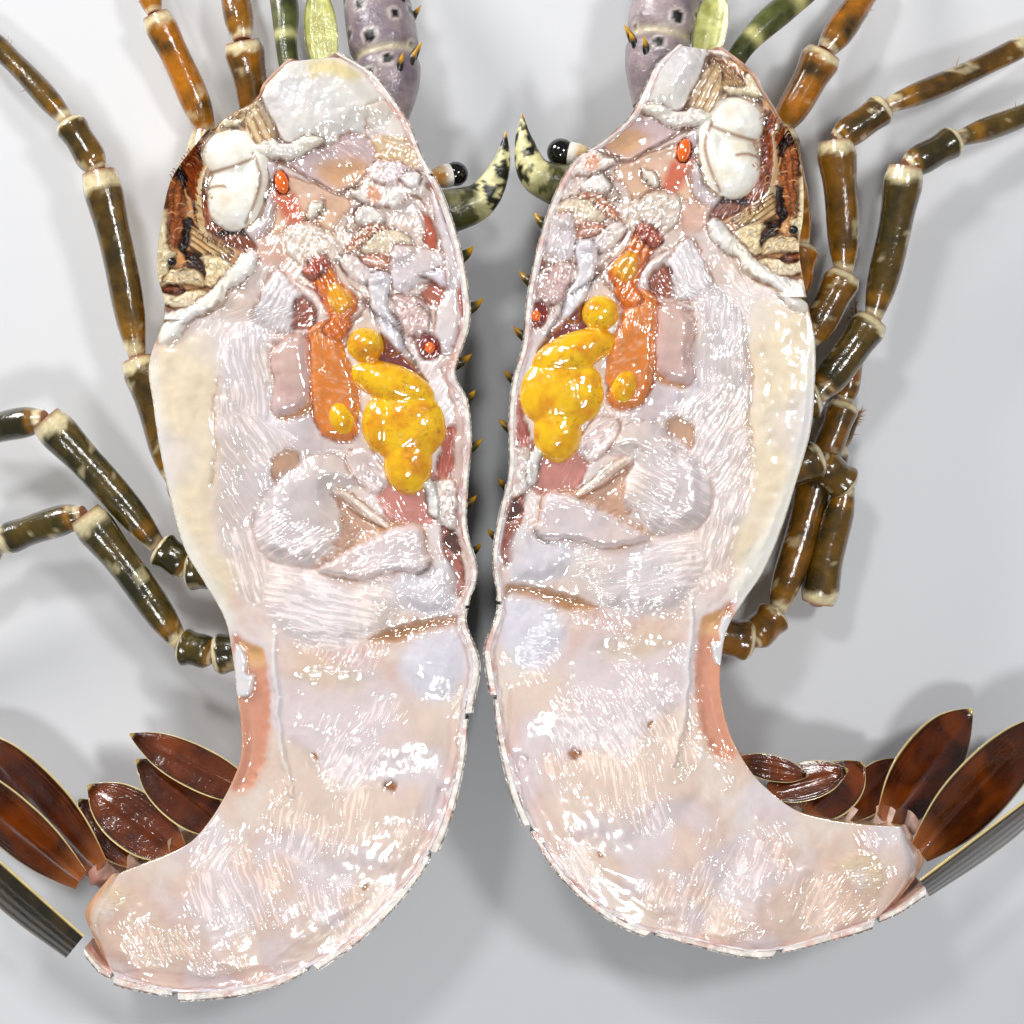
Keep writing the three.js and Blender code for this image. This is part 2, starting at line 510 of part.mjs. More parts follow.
for (const half of [LEFT, RIGHT]) {
  const bodyStations = [...HEAD_STATIONS, ...BACK_STATIONS, ...RING_STATIONS.flat()];
  const body = envelope(half, GAP, bodyStations);
  const inside = envelope(half, -0.9, [3.9, ...BACK_STATIONS, 16]);
  const cavity = envelope(half, -SHELL - GAP, bodyStations);

  // Shell of the head and back, with its horn and spines
  const hornTube = tube(half.horn.map(point), HORN_RADII, 8);
  const spikes = joined([hornTube, spines(half)]).subtract(inside);
  const carapace = largest(plate(half, BACK_STATIONS, SHELL_ANGLES).add(spikes));
  addPiece(half, "carapace", carapace, COLOURS.shell);
  const headAngles = steps(0, 176, 10);
  const headPlate = plate(half, HEAD_STATIONS, headAngles);
  const headGrown = plate(half, HEAD_STATIONS, headAngles, GAP);
  addPiece(half, "head_plate", headPlate, COLOURS.shell);

  // Belly side of the head and chest
  const jawSocket = lobes(half, JAW, GAP);
  const mouth = cutClear(bellyLayer(half, [3.2, 4.5, ...MOUTH_END]), [headGrown, jawSocket]);
  addPiece(half, "mouthparts", mouth, COLOURS.mouth, 0.6);
  addPiece(half, "breastplate", bellyLayer(half, CHEST_STATIONS), COLOURS.bone);

  // Flesh, roe and jaw on the cut face
  const roeSocket = lobes(half, ROE, GAP);
  const fleshStations = [...HEAD_STATIONS.slice(1), ...BACK_STATIONS];
  const chestFlesh = cutClear(flesh(half, fleshStations, true), [roeSocket, jawSocket, headGrown]);
  addPiece(half, "body_flesh", chestFlesh, COLOURS.flesh, 0.3);
  addPiece(half, "tail_flesh", flesh(half, RING_STATIONS.flat(), false), COLOURS.flesh, 0.3);
  addPiece(half, "roe", lobes(half, ROE, 0).intersect(cavity), COLOURS.roe, 0.3);
  addPiece(half, "jaw", lobes(half, JAW, 0), COLOURS.tooth, 0.3);

  // Rings of the tail
  const ringsGrown = RING_STATIONS.map((stations) => ring(half, stations, GAP));
  RING_STATIONS.forEach((stations, i) => addPiece(half, `tail_ring_${i + 1}`, ring(half, stations), COLOURS.shell));

  // Tail fan and swimmerets
  const rearRings = ringsGrown.slice(3);
  addPiece(half, "telson", cutClear(telson(half), [body, ...rearRings]), COLOURS.fin);
  const innerGrown = leaf(half.uropodInner, FAN_THICKNESS, GAP);
  const outerGrown = leaf(half.uropodOuter, FAN_THICKNESS, GAP);
  const inner = cutClear(leaf(half.uropodInner, FAN_THICKNESS), [body, ...rearRings, telson(half, GAP)]);
  addPiece(half, "uropod_inner", inner, COLOURS.fin);
  const outer = cutClear(leaf(half.uropodOuter, FAN_THICKNESS), [body, ...rearRings, telson(half, GAP), innerGrown]);
  addPiece(half, "uropod_outer", outer, COLOURS.fin);
  half.swimmerets.forEach((spec, i) => {
    const others = half.swimmerets.slice(0, i).map((s) => leaf(s, SWIMMERET_THICKNESS, GAP, 0.4));
    const whole = leaf(spec, SWIMMERET_THICKNESS, 0, 0.4);
    const piece = cutClear(whole, [body, ...ringsGrown, ...others, innerGrown, outerGrown]);
    addPiece(half, `swimmeret_${i + 1}`, piece, COLOURS.fin);
  });

  // Legs, from the front pair to the rear
  const legRadii = (i) => (i === 0 ? FRONT_LEG_RADII : LEG_RADII);
  half.legs.forEach((joints, i) => {
    const others = half.legs.slice(0, i).map((other, k) => leg(other, legRadii(k), GAP));
    const piece = cutClear(leg(joints, legRadii(i)), [body, ringsGrown[0], ...others]);
    addPiece(half, `leg_${i + 1}`, piece, COLOURS.leg);
  });

  // Feelers and eye
  const baseGrown = tube(half.antennaBase.map(point), BASE_RADII, 9, GAP);
  addPiece(half, "antenna_base", cutClear(feelerRoot(half), [body]), COLOURS.base);
  const whipPath = new THREE.CatmullRomCurve3(half.antennaWhip.map(point));
  const whipSteps = steps(0, 1, 20);
  const whip = tube(
    whipSteps.map((u) => whipPath.getPoint(u)),
    whipSteps.map((u) => smooth(WHIP_RADII)(u * (WHIP_RADII.length - 1)).x),
    6,
  );
  addPiece(half, "antenna_whip", cutClear(whip, [baseGrown]), COLOURS.whip);
  const small = tube(half.antennule.map(point), SMALL_FEELER_RADII, 6);
  const frontLegGrown = leg(half.legs[0], FRONT_LEG_RADII, GAP);
  addPiece(half, "antennule", cutClear(small, [body, frontLegGrown, baseGrown]), COLOURS.whip);
  const { root, ball, radius } = half.eye;
  const stalk = tube([point(root), point(ball)], [1.8, 1.6], 6);
  const eye = joined([stalk, ellipsoid(ball, [radius, radius, radius])]);
  const hornGrown = tube(half.horn.map(point), HORN_RADII, 8, GAP);
  addPiece(half, "eye", cutClear(eye, [body, headGrown, hornGrown]), COLOURS.eye, 0.15);
}

export default lobster;
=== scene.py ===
# %% [markdown]
# A halved spiny lobster. The animal was split along its middle, and its two halves lie side by side on
# their shells with the cut faces up. The solid model in the frame has every part at its true place, and
# this lesson dresses those parts: wet flesh, thin shell, roe, jaws, legs, tail fans and feelers.

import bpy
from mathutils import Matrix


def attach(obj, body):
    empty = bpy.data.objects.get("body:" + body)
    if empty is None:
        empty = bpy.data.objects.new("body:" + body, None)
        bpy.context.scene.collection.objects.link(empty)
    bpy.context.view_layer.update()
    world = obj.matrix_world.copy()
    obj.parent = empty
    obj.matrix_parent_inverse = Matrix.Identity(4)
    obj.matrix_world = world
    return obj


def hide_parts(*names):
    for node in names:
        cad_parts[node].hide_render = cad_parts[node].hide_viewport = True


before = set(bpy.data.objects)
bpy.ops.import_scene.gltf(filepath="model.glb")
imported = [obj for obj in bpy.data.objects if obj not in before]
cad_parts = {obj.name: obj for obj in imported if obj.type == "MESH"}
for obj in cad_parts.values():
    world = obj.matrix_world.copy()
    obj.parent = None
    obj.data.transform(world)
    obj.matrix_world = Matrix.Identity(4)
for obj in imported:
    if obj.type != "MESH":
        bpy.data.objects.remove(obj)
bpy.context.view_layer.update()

# %% [markdown]
# Everything is worked out in millimetres, in the same layout as the solid model: X across the pair, Y from
# the tails to the heads, and a cut face 38 mm over the table. CENTRE moves the pair's middle to the origin.

# %% Sizes that drive everything
import math
import random

import bmesh
import bpy
import numpy as np
from mathutils import Matrix, Vector, noise

MM = 0.001
CENTRE = np.array([-2.6, -51.2, 0.0])
MIRROR_SHIFT = (14.6, 8.0)
CUT = 38.0
SHELL = 1.4
ROUNDNESS = 0.85
SHELL_END = 148.0
PLATE_ENDS = [(15.2, 18.1), (18.2, 20.2), (20.3, 22.4), (22.5, 24.2), (24.3, 25.7), (25.8, 26.9)]
print("cut face at", CUT, "mm")

# %% [markdown]
# The outline of a split lobster is a free shape, so it is held as a few measured stations: from the tip of
# the head (0) over the carapace's rear edge (15) to the last tail ring (27). A smooth curve through the
# stations gives every place between them, which keeps the shell, the flesh and the rings in one flow.

# %% Stations of the two halves
HALF_WIDTHS = [5, 13, 20, 26, 30, 33, 35.5, 37.2, 38.2, 38.7, 38.7, 38.7, 38.7, 38.2, 37.5, 36.5,
               36.6, 37.4, 38, 38, 37.4, 36.4, 35, 33, 31, 29, 27, 25.5]
LINING = [2, 2, 3, 4, 6, 8, 11, 16, 13, 16, 17, 16, 14, 12, 8, 4, 2, 2, 2, 2, 2, 2, 2, 2, 2, 2, 2, 2]
LEFT_BACK = [
    (-44, 115.5), (-35, 110), (-30, 104), (-25.5, 97), (-22, 88.5), (-17.5, 80.5), (-13.5, 69), (-11, 57),
    (-10.5, 47), (-14, 35), (-11, 28), (-10, 18), (-11, 5.5), (-11, -4.5), (-8.5, -14.5), (-10.5, -23),
    (-11.5, -28), (-8.5, -38), (-10.5, -49), (-12.5, -64.5), (-18, -82), (-27, -96), (-42, -109.5),
    (-60.5, -119), (-80.5, -121.5), (-93, -119.5), (-102, -116), (-107.5, -109.5)]
LEFT_BELLY = [
    (-56, 114), (-62.5, 107.5), (-65.5, 103), (-74, 98), (-80.5, 90.5), (-85.5, 83), (-88, 72), (-89, 60.5),
    (-87, 50), (-91, 37.5), (-90, 27), (-88, 14), (-85, 0.5), (-82, -9.5), (-77, -18), (-72, -27),
    (-70, -37), (-69, -46), (-68, -53), (-68, -61), (-70, -67), (-72.5, -72), (-76, -77.5),
    (-80.5, -82.5), (-87, -86), (-93.5, -88.5), (-101, -91.5), (-109, -95)]
RIGHT_BACK = [
    (42, 117.5), (36, 112), (33, 106), (29, 98.5), (22, 92.5), (15, 87.5), (9.5, 77), (6, 65.5),
    (3.5, 53), (2.5, 42), (0, 33), (-1, 23), (-1, 10.5), (-3.5, -1), (-5, -11), (-4, -22),
    (-4, -26), (-6.5, -34.5), (-5, -44.5), (-3, -58), (2, -75), (12, -91), (27, -103),
    (44.5, -108), (62, -111), (79.5, -107), (94.5, -101.5), (104.5, -94.5)]
RIGHT_BELLY = [
    (52, 117), (60, 111), (64, 105), (68, 98.5), (71.5, 91), (73, 83), (73, 74), (72, 65.5),
    (73.5, 55.5), (76, 43), (76, 32), (75, 20.5), (71.5, 8), (67.5, -4.5), (63, -15), (58, -22.5),
    (54, -29.5), (52.5, -38), (52.5, -46), (55, -56), (60, -65), (66, -71), (72, -75),
    (79.5, -77), (86.5, -78), (93, -78.5), (99.5, -79), (104.5, -82)]
print(len(HALF_WIDTHS), "stations")

# %% [markdown]
# A curve through points is a Catmull-Rom spline: at each point it leans along the line between its two
# neighbours. NumPy works it out for thousands of places at once.

# %% Smooth curves
def curve_through(points):
    knots = np.asarray(points, float)
    if knots.ndim == 1:
        knots = knots[:, None]
    padded = np.vstack([2 * knots[0] - knots[1], knots, 2 * knots[-1] - knots[-2]])

    def at(places):
        t = np.clip(np.atleast_1d(np.asarray(places, float)), 0, len(knots) - 1)
        i = np.minimum(t.astype(int), len(knots) - 2)
        f = (t - i)[:, None]
        p0, p1, p2, p3 = padded[i], padded[i + 1], padded[i + 2], padded[i + 3]
        out, back = 0.5 * (p2 - p0), 0.5 * (p3 - p1)
        return ((2 * f**3 - 3 * f**2 + 1) * p1 + (f**3 - 2 * f**2 + f) * out
                + (3 * f**2 - 2 * f**3) * p2 + (f**3 - f**2) * back)

    return at


def ramp(value, low, high):
    share = np.clip((np.asarray(value, float) - low) / (high - low), 0, 1)
    return share * share * (3 - 2 * share)


width_at = curve_through(HALF_WIDTHS)
lining_at = curve_through(LINING)
print("half width at station 12:", float(width_at(12)[0, 0]), "mm")

# %% [markdown]
# Each half knows its two edges on the cut face and can give any point of its skin. The angle runs round the
# body from the back (0) to the belly (180), and grow moves the point out of the skin or into it. What shows
# on the cut face is the same in both halves, mirrored, so features are placed once, in the left one.

# %% A half of the animal
class Half:
    def __init__(self, name, side, back, belly):
        self.name = name
        self.side = side
        self.back = curve_through(back)
        self.belly = curve_through(belly)

    def edges(self, station):
        return self.back(station), self.belly(station)

    def skin(self, station, degrees, grow=0.0):
        back, belly = self.edges(station)
        across = back - belly
        reach = np.linalg.norm(across, axis=1) / 2
        angle = np.radians(np.broadcast_to(degrees, reach.shape))
        drop = (width_at(station)[:, 0] + grow) * np.clip(np.sin(angle), 0, 1) ** ROUNDNESS
        flat = (back + belly) / 2 + across / (2 * reach[:, None]) * ((reach + grow) * np.cos(angle))[:, None]
        floor = np.maximum(-np.broadcast_to(grow, reach.shape), 0)
        return np.column_stack([flat, np.maximum(CUT - drop, floor)])

    def to_left(self, spots):
        if self.side < 0:
            return spots[:, 0], spots[:, 1]
        return -spots[:, 0] - MIRROR_SHIFT[0], spots[:, 1] - MIRROR_SHIFT[1]

    def from_left(self, x, y):
        return (x, y) if self.side < 0 else (-x - MIRROR_SHIFT[0], y + MIRROR_SHIFT[1])


LEFT = Half("left", -1, LEFT_BACK, LEFT_BELLY)
RIGHT = Half("right", 1, RIGHT_BACK, RIGHT_BELLY)
HALVES = (LEFT, RIGHT)
print("skin under the middle:", LEFT.skin([12], 90)[0])

# %% [markdown]
# Colours are written as the hex values that a picture shows and turned into the linear light that the
# renderer works in. Pale colours are made a little more vivid, since the film of water over them greys them.

# %% Colours
VIVID = 0.25


def tint(code):
    parts = [int(code[i:i + 2], 16) / 255 for i in (1, 3, 5)]
    light = np.array([c / 12.92 if c < 0.04045 else ((c + 0.055) / 1.055) ** 2.4 for c in parts])
    grey = light.mean()
    return np.append(np.clip(grey + (light - grey) * (1.05 + VIVID * grey), 0.002, 0.97), 1.0)


def mixed(first, second, share):
    share = np.asarray(share, float)[..., None]
    return first * (1 - share) + second * share


WHITE_FLESH = tint("#efe2dc")
PINK_FLESH = tint("#dfbfb2")
IVORY = tint("#f1e2c4")
OLIVE = tint("#3d3a18")
DARK_OLIVE = tint("#1d1a0c")
SHELL_WHITE = tint("#f3ece4")
print("ivory in linear light:", IVORY.round(2))

# %% [markdown]
# Natural surfaces are never even. This noise has no direction, gives the same value at the same place on
# every run, and is asked for by the size of its lumps in millimetres.

# %% Noise at a place
def lumpy(spots, size, octaves=3, shift=0.0):
    offset = Vector((shift, shift * 0.7, shift * 1.3))
    return np.array([noise.fractal(Vector(p) / size + offset, 0.8, 2.1, octaves) for p in spots])


print("noise at the origin:", lumpy([(0.3, 0.2, 0.1)], 2.0))

# %% [markdown]
# Nearly every piece here is a skin rolled into a closed tube: the shell plates are flat tubes bent into a C,
# the flesh is a half-round bar, and a leg is a row of swellings. A grid operator gives the faces and an even
# UV layout. Its points are then moved to where a formula wants them, the seam is merged and the ends filled.

# %% Rolled grids
PAINT = "paint"
STROKES = "grain"


def start_mesh():
    bm = bmesh.new()
    bm.loops.layers.uv.new("UVMap")
    bm.verts.layers.float_color.new(PAINT)
    return bm


def rolled(bm, rows, around, place, colour, grain=None):
    made = bmesh.ops.create_grid(bm, x_segments=rows, y_segments=around, size=0.5, calc_uvs=True)["verts"]
    share = np.array([(v.co.x + 0.5, v.co.y + 0.5) for v in made])
    spots = place(share[:, 0], share[:, 1])
    shades = colour(spots, share[:, 0], share[:, 1])
    paint = bm.verts.layers.float_color[PAINT]
    for vert, spot, shade in zip(made, spots, shades):
        vert.co = Vector((spot + CENTRE) * MM)
        vert[paint] = shade
    if grain:
        for vert, strokes in zip(made, grain()):
            vert[bm.verts.layers.float_color[STROKES]] = strokes
    bmesh.ops.remove_doubles(bm, verts=made, dist=2e-6)
    open_edges = [e for e in bm.edges if e.is_boundary]
    bmesh.ops.holes_fill(bm, edges=open_edges, sides=0)
    return bm


def piece(name, bm, material, nodes=(), sharp=50.0):
    bmesh.ops.recalc_face_normals(bm, faces=bm.faces)
    mesh = bpy.data.meshes.new(name)
    bm.to_mesh(mesh)
    bm.free()
    mesh.shade_smooth()
    mesh.set_sharp_from_angle(angle=math.radians(sharp))
    obj = bpy.data.objects.new(name, mesh)
    bpy.context.scene.collection.objects.link(obj)
    mesh.materials.append(material)
    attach(obj, "root")
    if nodes:
        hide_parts(*nodes)
    print(f"{name}: {len(mesh.polygons)} faces")
    return obj


# %% [markdown]
# All the finishes share one recipe. The painted colour of each point is varied by fine noise, a bump gives
# the skin its grain, and a clear coat stands for the film of water on everything. What differs is how much.

# %% A wet surface
def node(tree, kind, **values):
    made = tree.nodes.new(kind)
    for key, value in values.items():
        if key in made.inputs:
            made.inputs[key].default_value = value
        else:
            setattr(made, key, value)
    return made


def wet_surface(name, roughness=0.35, coat=0.5, mottle=0.15, mottle_size=4.0, grain=0.1, grain_size=1.0,
                subsurface=0.0, scale=0.0035, film=1.6):
    material = bpy.data.materials.new(name)
    material.use_nodes = True
    tree = material.node_tree
    link = tree.links.new
    surface = tree.nodes["Principled BSDF"]
    surface.inputs["Coat Weight"].default_value = coat
    surface.inputs["Coat Roughness"].default_value = 0.06
    surface.inputs["Coat IOR"].default_value = film
    surface.inputs["IOR"].default_value = 1.4
    if subsurface:
        surface.inputs["Subsurface Weight"].default_value = subsurface
        surface.inputs["Subsurface Radius"].default_value = (1.0, 0.45, 0.3)
        surface.inputs["Subsurface Scale"].default_value = scale
    paint = node(tree, "ShaderNodeAttribute", attribute_name=PAINT)
    where = node(tree, "ShaderNodeTexCoord")
    clouds = node(tree, "ShaderNodeTexNoise", Scale=1000 / mottle_size, Detail=5, Roughness=0.6)
    link(where.outputs["Object"], clouds.inputs["Vector"])
    spread = node(tree, "ShaderNodeMapRange")
    spread.inputs["From Min"].default_value = 0.3
    spread.inputs["From Max"].default_value = 0.7
    spread.inputs["To Min"].default_value = 1 - mottle
    spread.inputs["To Max"].default_value = 1 + mottle * 0.6
    link(clouds.outputs["Fac"], spread.inputs["Value"])
    shade = node(tree, "ShaderNodeVectorMath", operation="SCALE")
    link(paint.outputs["Color"], shade.inputs[0])
    link(spread.outputs["Result"], shade.inputs["Scale"])
    link(shade.outputs["Vector"], surface.inputs["Base Color"])
    gloss = node(tree, "ShaderNodeMapRange")
    gloss.inputs["To Min"].default_value = roughness * 0.65
    gloss.inputs["To Max"].default_value = roughness * 1.35
    link(clouds.outputs["Fac"], gloss.inputs["Value"])
    link(gloss.outputs["Result"], surface.inputs["Roughness"])
    fine = node(tree, "ShaderNodeTexNoise", Scale=1000 / grain_size, Detail=4, Roughness=0.55, Distortion=0.6)
    link(where.outputs["Object"], fine.inputs["Vector"])
    bump = node(tree, "ShaderNodeBump", Strength=1.0, Distance=grain * MM)
    link(fine.outputs["Fac"], bump.inputs["Height"])
    link(bump.outputs["Normal"], surface.inputs["Normal"])
    link(bump.outputs["Normal"], surface.inputs["Coat Normal"])
    return material


# %% [markdown]
# The flesh of the cut face is the hero of the piece: milky muscles, clear films and cream plates packed side
# by side. Each is an area with a closed outline, drawn on the left half in millimetres. An area has a colour,
# a height over its surroundings and a rounded edge, and some have a dark line of painted shade in the crease
# round them, grains of their own or a pattern of stripes. Later areas lie on top of earlier ones.

# %% Areas of the cut face
def area(name, outline, colour, rise=0.0, bevel=1.5, line=None, soft=0.3, turn=60, glints=0.5, stripes=None,
         scribble=0.0):
    return {"name": name, "outline": outline, "colour": tint(colour), "rise": rise, "bevel": bevel,
            "line": None if line is None else tint(line), "soft": soft, "turn": turn, "glints": glints,
            "stripes": stripes, "scribble": scribble}


# Colours of the dark lines at the edges of areas: painted shade in the crease round each area.
BROWN_CREASE_SHADE = "#6b412c"
FAINT_CREASE_SHADE = "#a07560"
HEAD_AREAS = [
    area("head ground", [(-66, 106), (-44, 114), (-25, 97), (-13, 72), (-11, 48), (-14, 36), (-30, 36),
         (-50, 44), (-66, 48), (-78, 56), (-80, 80), (-74, 98)], "#ddcbc2", 0, 4, soft=2.5, glints=0.8),
    area("antenna muscle", [(-64.5, 105), (-61, 111), (-57, 114.5), (-49, 114.5), (-42, 113.5),
         (-36.5, 109.5), (-32, 103.5), (-30, 99.5), (-33, 97), (-37, 96), (-41, 93.5), (-45, 92.5),
         (-50, 90.5), (-56, 92.5), (-59, 95), (-62, 100)], "#eee9e2", 2.3, 6, FAINT_CREASE_SHADE, turn=20, glints=0.3),
    area("yellow of the muscle", [(-51, 112.5), (-44, 113), (-38, 109.5), (-40, 107.5), (-46, 109),
         (-50, 108)], "#f0e0b4", 0.2, 2, soft=1.6, glints=0.3),
    area("lobe by the back", [(-36, 101), (-32, 103), (-28.5, 99), (-25, 93), (-28, 92), (-33, 94),
         (-36, 97)], "#eae0d6", 0.5, 2, "#c9b1a2", glints=0.5),
    area("tan crinkles", [(-35, 93.5), (-29, 94), (-24, 92), (-21.5, 87), (-26, 85.5), (-31, 86),
         (-36, 89)], "#dcbd95", 0.4, 1.2, None, scribble=0.4, glints=0.6),
    area("lilac film", [(-60, 89.5), (-52, 90), (-46, 92), (-39, 95), (-35, 92), (-34.5, 87), (-38.5, 82),
         (-42.5, 79.8), (-47, 81.5), (-54, 86)], "#c9b3b2", -0.6, 1.6, FAINT_CREASE_SHADE, turn=150, glints=1.0),
    area("peach hollow", [(-49, 86), (-42, 88.5), (-36, 87), (-38.5, 82.6), (-42.5, 80.6), (-46, 82)],
         "#d6ab88", -0.5, 3, None, soft=2.0, turn=150, glints=0.5),
    area("peach wall", [(-57, 84), (-50, 82), (-44, 79.3), (-40.5, 77.5), (-42, 72), (-46, 70), (-50, 72.5),
         (-54, 73), (-58, 70), (-62, 68), (-60, 74), (-58, 79)], "#e2bda3", -0.5, 2, FAINT_CREASE_SHADE, soft=0.8,
         glints=0.35),
    area("film by the jaw", [(-61, 89), (-58.5, 87), (-60, 81), (-59.5, 76), (-60, 71), (-64, 68.5),
         (-67, 70.5), (-65, 78), (-62, 85)], "#cfc1c1", 0.5, 2, FAINT_CREASE_SHADE, turn=60, glints=1.0),
    area("red flesh", [(-60, 80.5), (-57.5, 79), (-55, 80), (-53.5, 77), (-52.5, 73), (-56, 72.5),
         (-58, 75)], "#d4765c", 0.2, 1.5, None, soft=1.2, glints=0.7),
    area("bead socket", [(-60.3, 82.5), (-59, 85.3), (-57.3, 85.8), (-56, 83), (-56, 80.3), (-58, 79.2)],
         "#4b1a0c", -0.6, 0.6),
    area("ivory flap", [(-51.6, 73.4), (-50.5, 76.5), (-47, 77.6), (-48.6, 74)], "#f4ecdf", 0.9, 0.6,
         BROWN_CREASE_SHADE),
    area("rosy skin", [(-64, 68), (-58, 69), (-54, 66), (-57, 62), (-63, 62)], "#dfb8a6", 0.3, 2, soft=1.2),
    area("stony skin", [(-56, 71), (-50, 72), (-45, 70), (-42, 66), (-43.5, 63), (-47, 61.5), (-53, 62),
         (-57, 66)], "#dccdc2", 0.5, 1, "#c0a48f", scribble=0.9, glints=0.9),
    area("white folds", [(-42, 80), (-37, 81.5), (-33, 84), (-27, 83.5), (-22, 85), (-21, 81), (-24, 78),
         (-29, 76), (-35, 76), (-39, 78)], "#eadfd6", 0.9, 1, BROWN_CREASE_SHADE, scribble=0.9, glints=0.9),
    area("lilac folds", [(-35, 87), (-29, 87.5), (-25, 85.5), (-28, 82), (-33, 81.5), (-36, 84)], "#dcccca",
         0.6, 1, FAINT_CREASE_SHADE, scribble=0.8, glints=0.9),
    area("whorl", [(-27.5, 83), (-25.5, 85.4), (-22.8, 84.5), (-22.8, 81.8), (-25.5, 80.8)], "#efe8e4", 0.9,
         1.2, BROWN_CREASE_SHADE),
    area("peach fleck", [(-36.5, 80), (-34, 81), (-32.5, 78.5), (-34, 77), (-36, 78)], "#dfa88c", 0, 1,
         soft=0.7),
    area("stomach ground", [(-44, 72), (-38, 76), (-30, 76), (-24, 79), (-21, 74), (-19.5, 66), (-17, 60),
         (-20, 52), (-24, 44), (-28, 40), (-32, 48), (-40, 57), (-43, 64)], "#e0cec4", -0.7, 1.5, FAINT_CREASE_SHADE,
         scribble=0.6, glints=0.9),
    area("lined flap", [(-42, 70), (-40, 74), (-37, 77), (-36, 75), (-39, 70.5)], "#e5d7ca", 0.5, 0.8,
         BROWN_CREASE_SHADE, stripes=(55, 0.9, 0.4, "#a67c62")),
    area("white flap", [(-39.5, 72.3), (-38, 76), (-35.5, 76.5), (-31.8, 74), (-33, 71.5)], "#f3ece4", 1.1,
         0.8, BROWN_CREASE_SHADE),
    area("ribbed fan", [(-43, 64), (-38.5, 70), (-34, 72.3), (-31, 71.3), (-32, 69), (-38, 66)], "#b76a49",
         0.3, 0.8, "#6f3a24", stripes=(36, 1.5, 0.8, "#f0e0cc")),
    area("cream lobe", [(-35, 69), (-30.5, 71), (-26, 69.5), (-24.5, 65.5), (-28, 63), (-34, 63.5),
         (-38, 65.3)], "#e6d6bd", 0.9, 2, BROWN_CREASE_SHADE, scribble=0.5, glints=0.6),
    area("red crinkles", [(-40, 62.3), (-35, 64.2), (-30, 65), (-27.5, 63), (-31, 61.3), (-36, 60.4)],
         "#cb8c72", 0.5, 0.8, "#9d6046", scribble=1.0, glints=1.0),
    area("stomach wall", [(-43.3, 63), (-41.8, 65), (-38.5, 64), (-36, 61), (-32, 60.2), (-31, 58),
         (-35, 56.5), (-40, 58.5)], "#e9dedd", 0.9, 1.2, BROWN_CREASE_SHADE, scribble=0.6, turn=150, glints=1.0),
    area("lilac sac", [(-30, 66.5), (-25, 67), (-20, 66), (-16.5, 64.5), (-14.6, 58.5), (-16.5, 55.3),
         (-22, 57.5), (-28, 55), (-30.5, 59)], "#e2d5d4", 1.0, 2.5, FAINT_CREASE_SHADE, turn=30, glints=0.8),
    area("clear fold", [(-23, 59.5), (-18, 61), (-15.2, 62), (-14.7, 57), (-16.3, 55.6), (-20, 58)],
         "#ebe3ea", 0.7, 0.9, BROWN_CREASE_SHADE),
    area("red diamond", [(-23, 54.8), (-20, 57.2), (-15.8, 55.4), (-19.5, 52)], "#b06a58", -0.3, 0.8,
         "#7c4336", glints=0.3),
    area("rosy sac", [(-30, 54), (-24, 54), (-20.5, 51), (-21, 46), (-24, 43.7), (-27.5, 46)], "#cdb0ab",
         0.6, 2, BROWN_CREASE_SHADE, turn=20, glints=0.9, scribble=0.5),
    area("red gap by the wall", [(-22.8, 75.3), (-20.5, 73.5), (-19, 69), (-19.3, 66), (-21.5, 67.5),
         (-21.6, 71)], "#bd6248", -0.6, 0.7, "#843f2b", glints=0.3),
    area("inner wall", [(-20.5, 81), (-18, 79), (-15.8, 73), (-13.8, 66), (-12.9, 58), (-13, 46), (-16, 40),
         (-19.5, 42), (-18.5, 50), (-16.5, 57), (-17, 64), (-19, 72)], "#e5dbdd", 0.5, 1.6, FAINT_CREASE_SHADE,
         glints=0.6, scribble=0.2),
    area("rust line by the rim", [(-20, 82.6), (-18.5, 82.3), (-16, 76.5), (-14.3, 70), (-14.6, 69),
         (-16.8, 74.5)], "#a4482a", -0.6, 0.5, "#6d2b17", glints=0.2),
    area("rust line lower", [(-13.2, 57.5), (-12.3, 57), (-12.1, 50), (-12.8, 47.5), (-13.3, 52)],
         "#b5684c", -0.4, 0.5),
    area("white stalk", [(-35.3, 59.3), (-31, 60), (-30, 57.5), (-31, 52), (-28.6, 47.8), (-27.2, 43),
         (-28.8, 39), (-31.5, 39.8), (-32.6, 44), (-34.2, 48.5), (-36, 52.5)], "#eae5e8", 1.3, 1.2,
         "#5b4038", turn=100, glints=0.5),
]
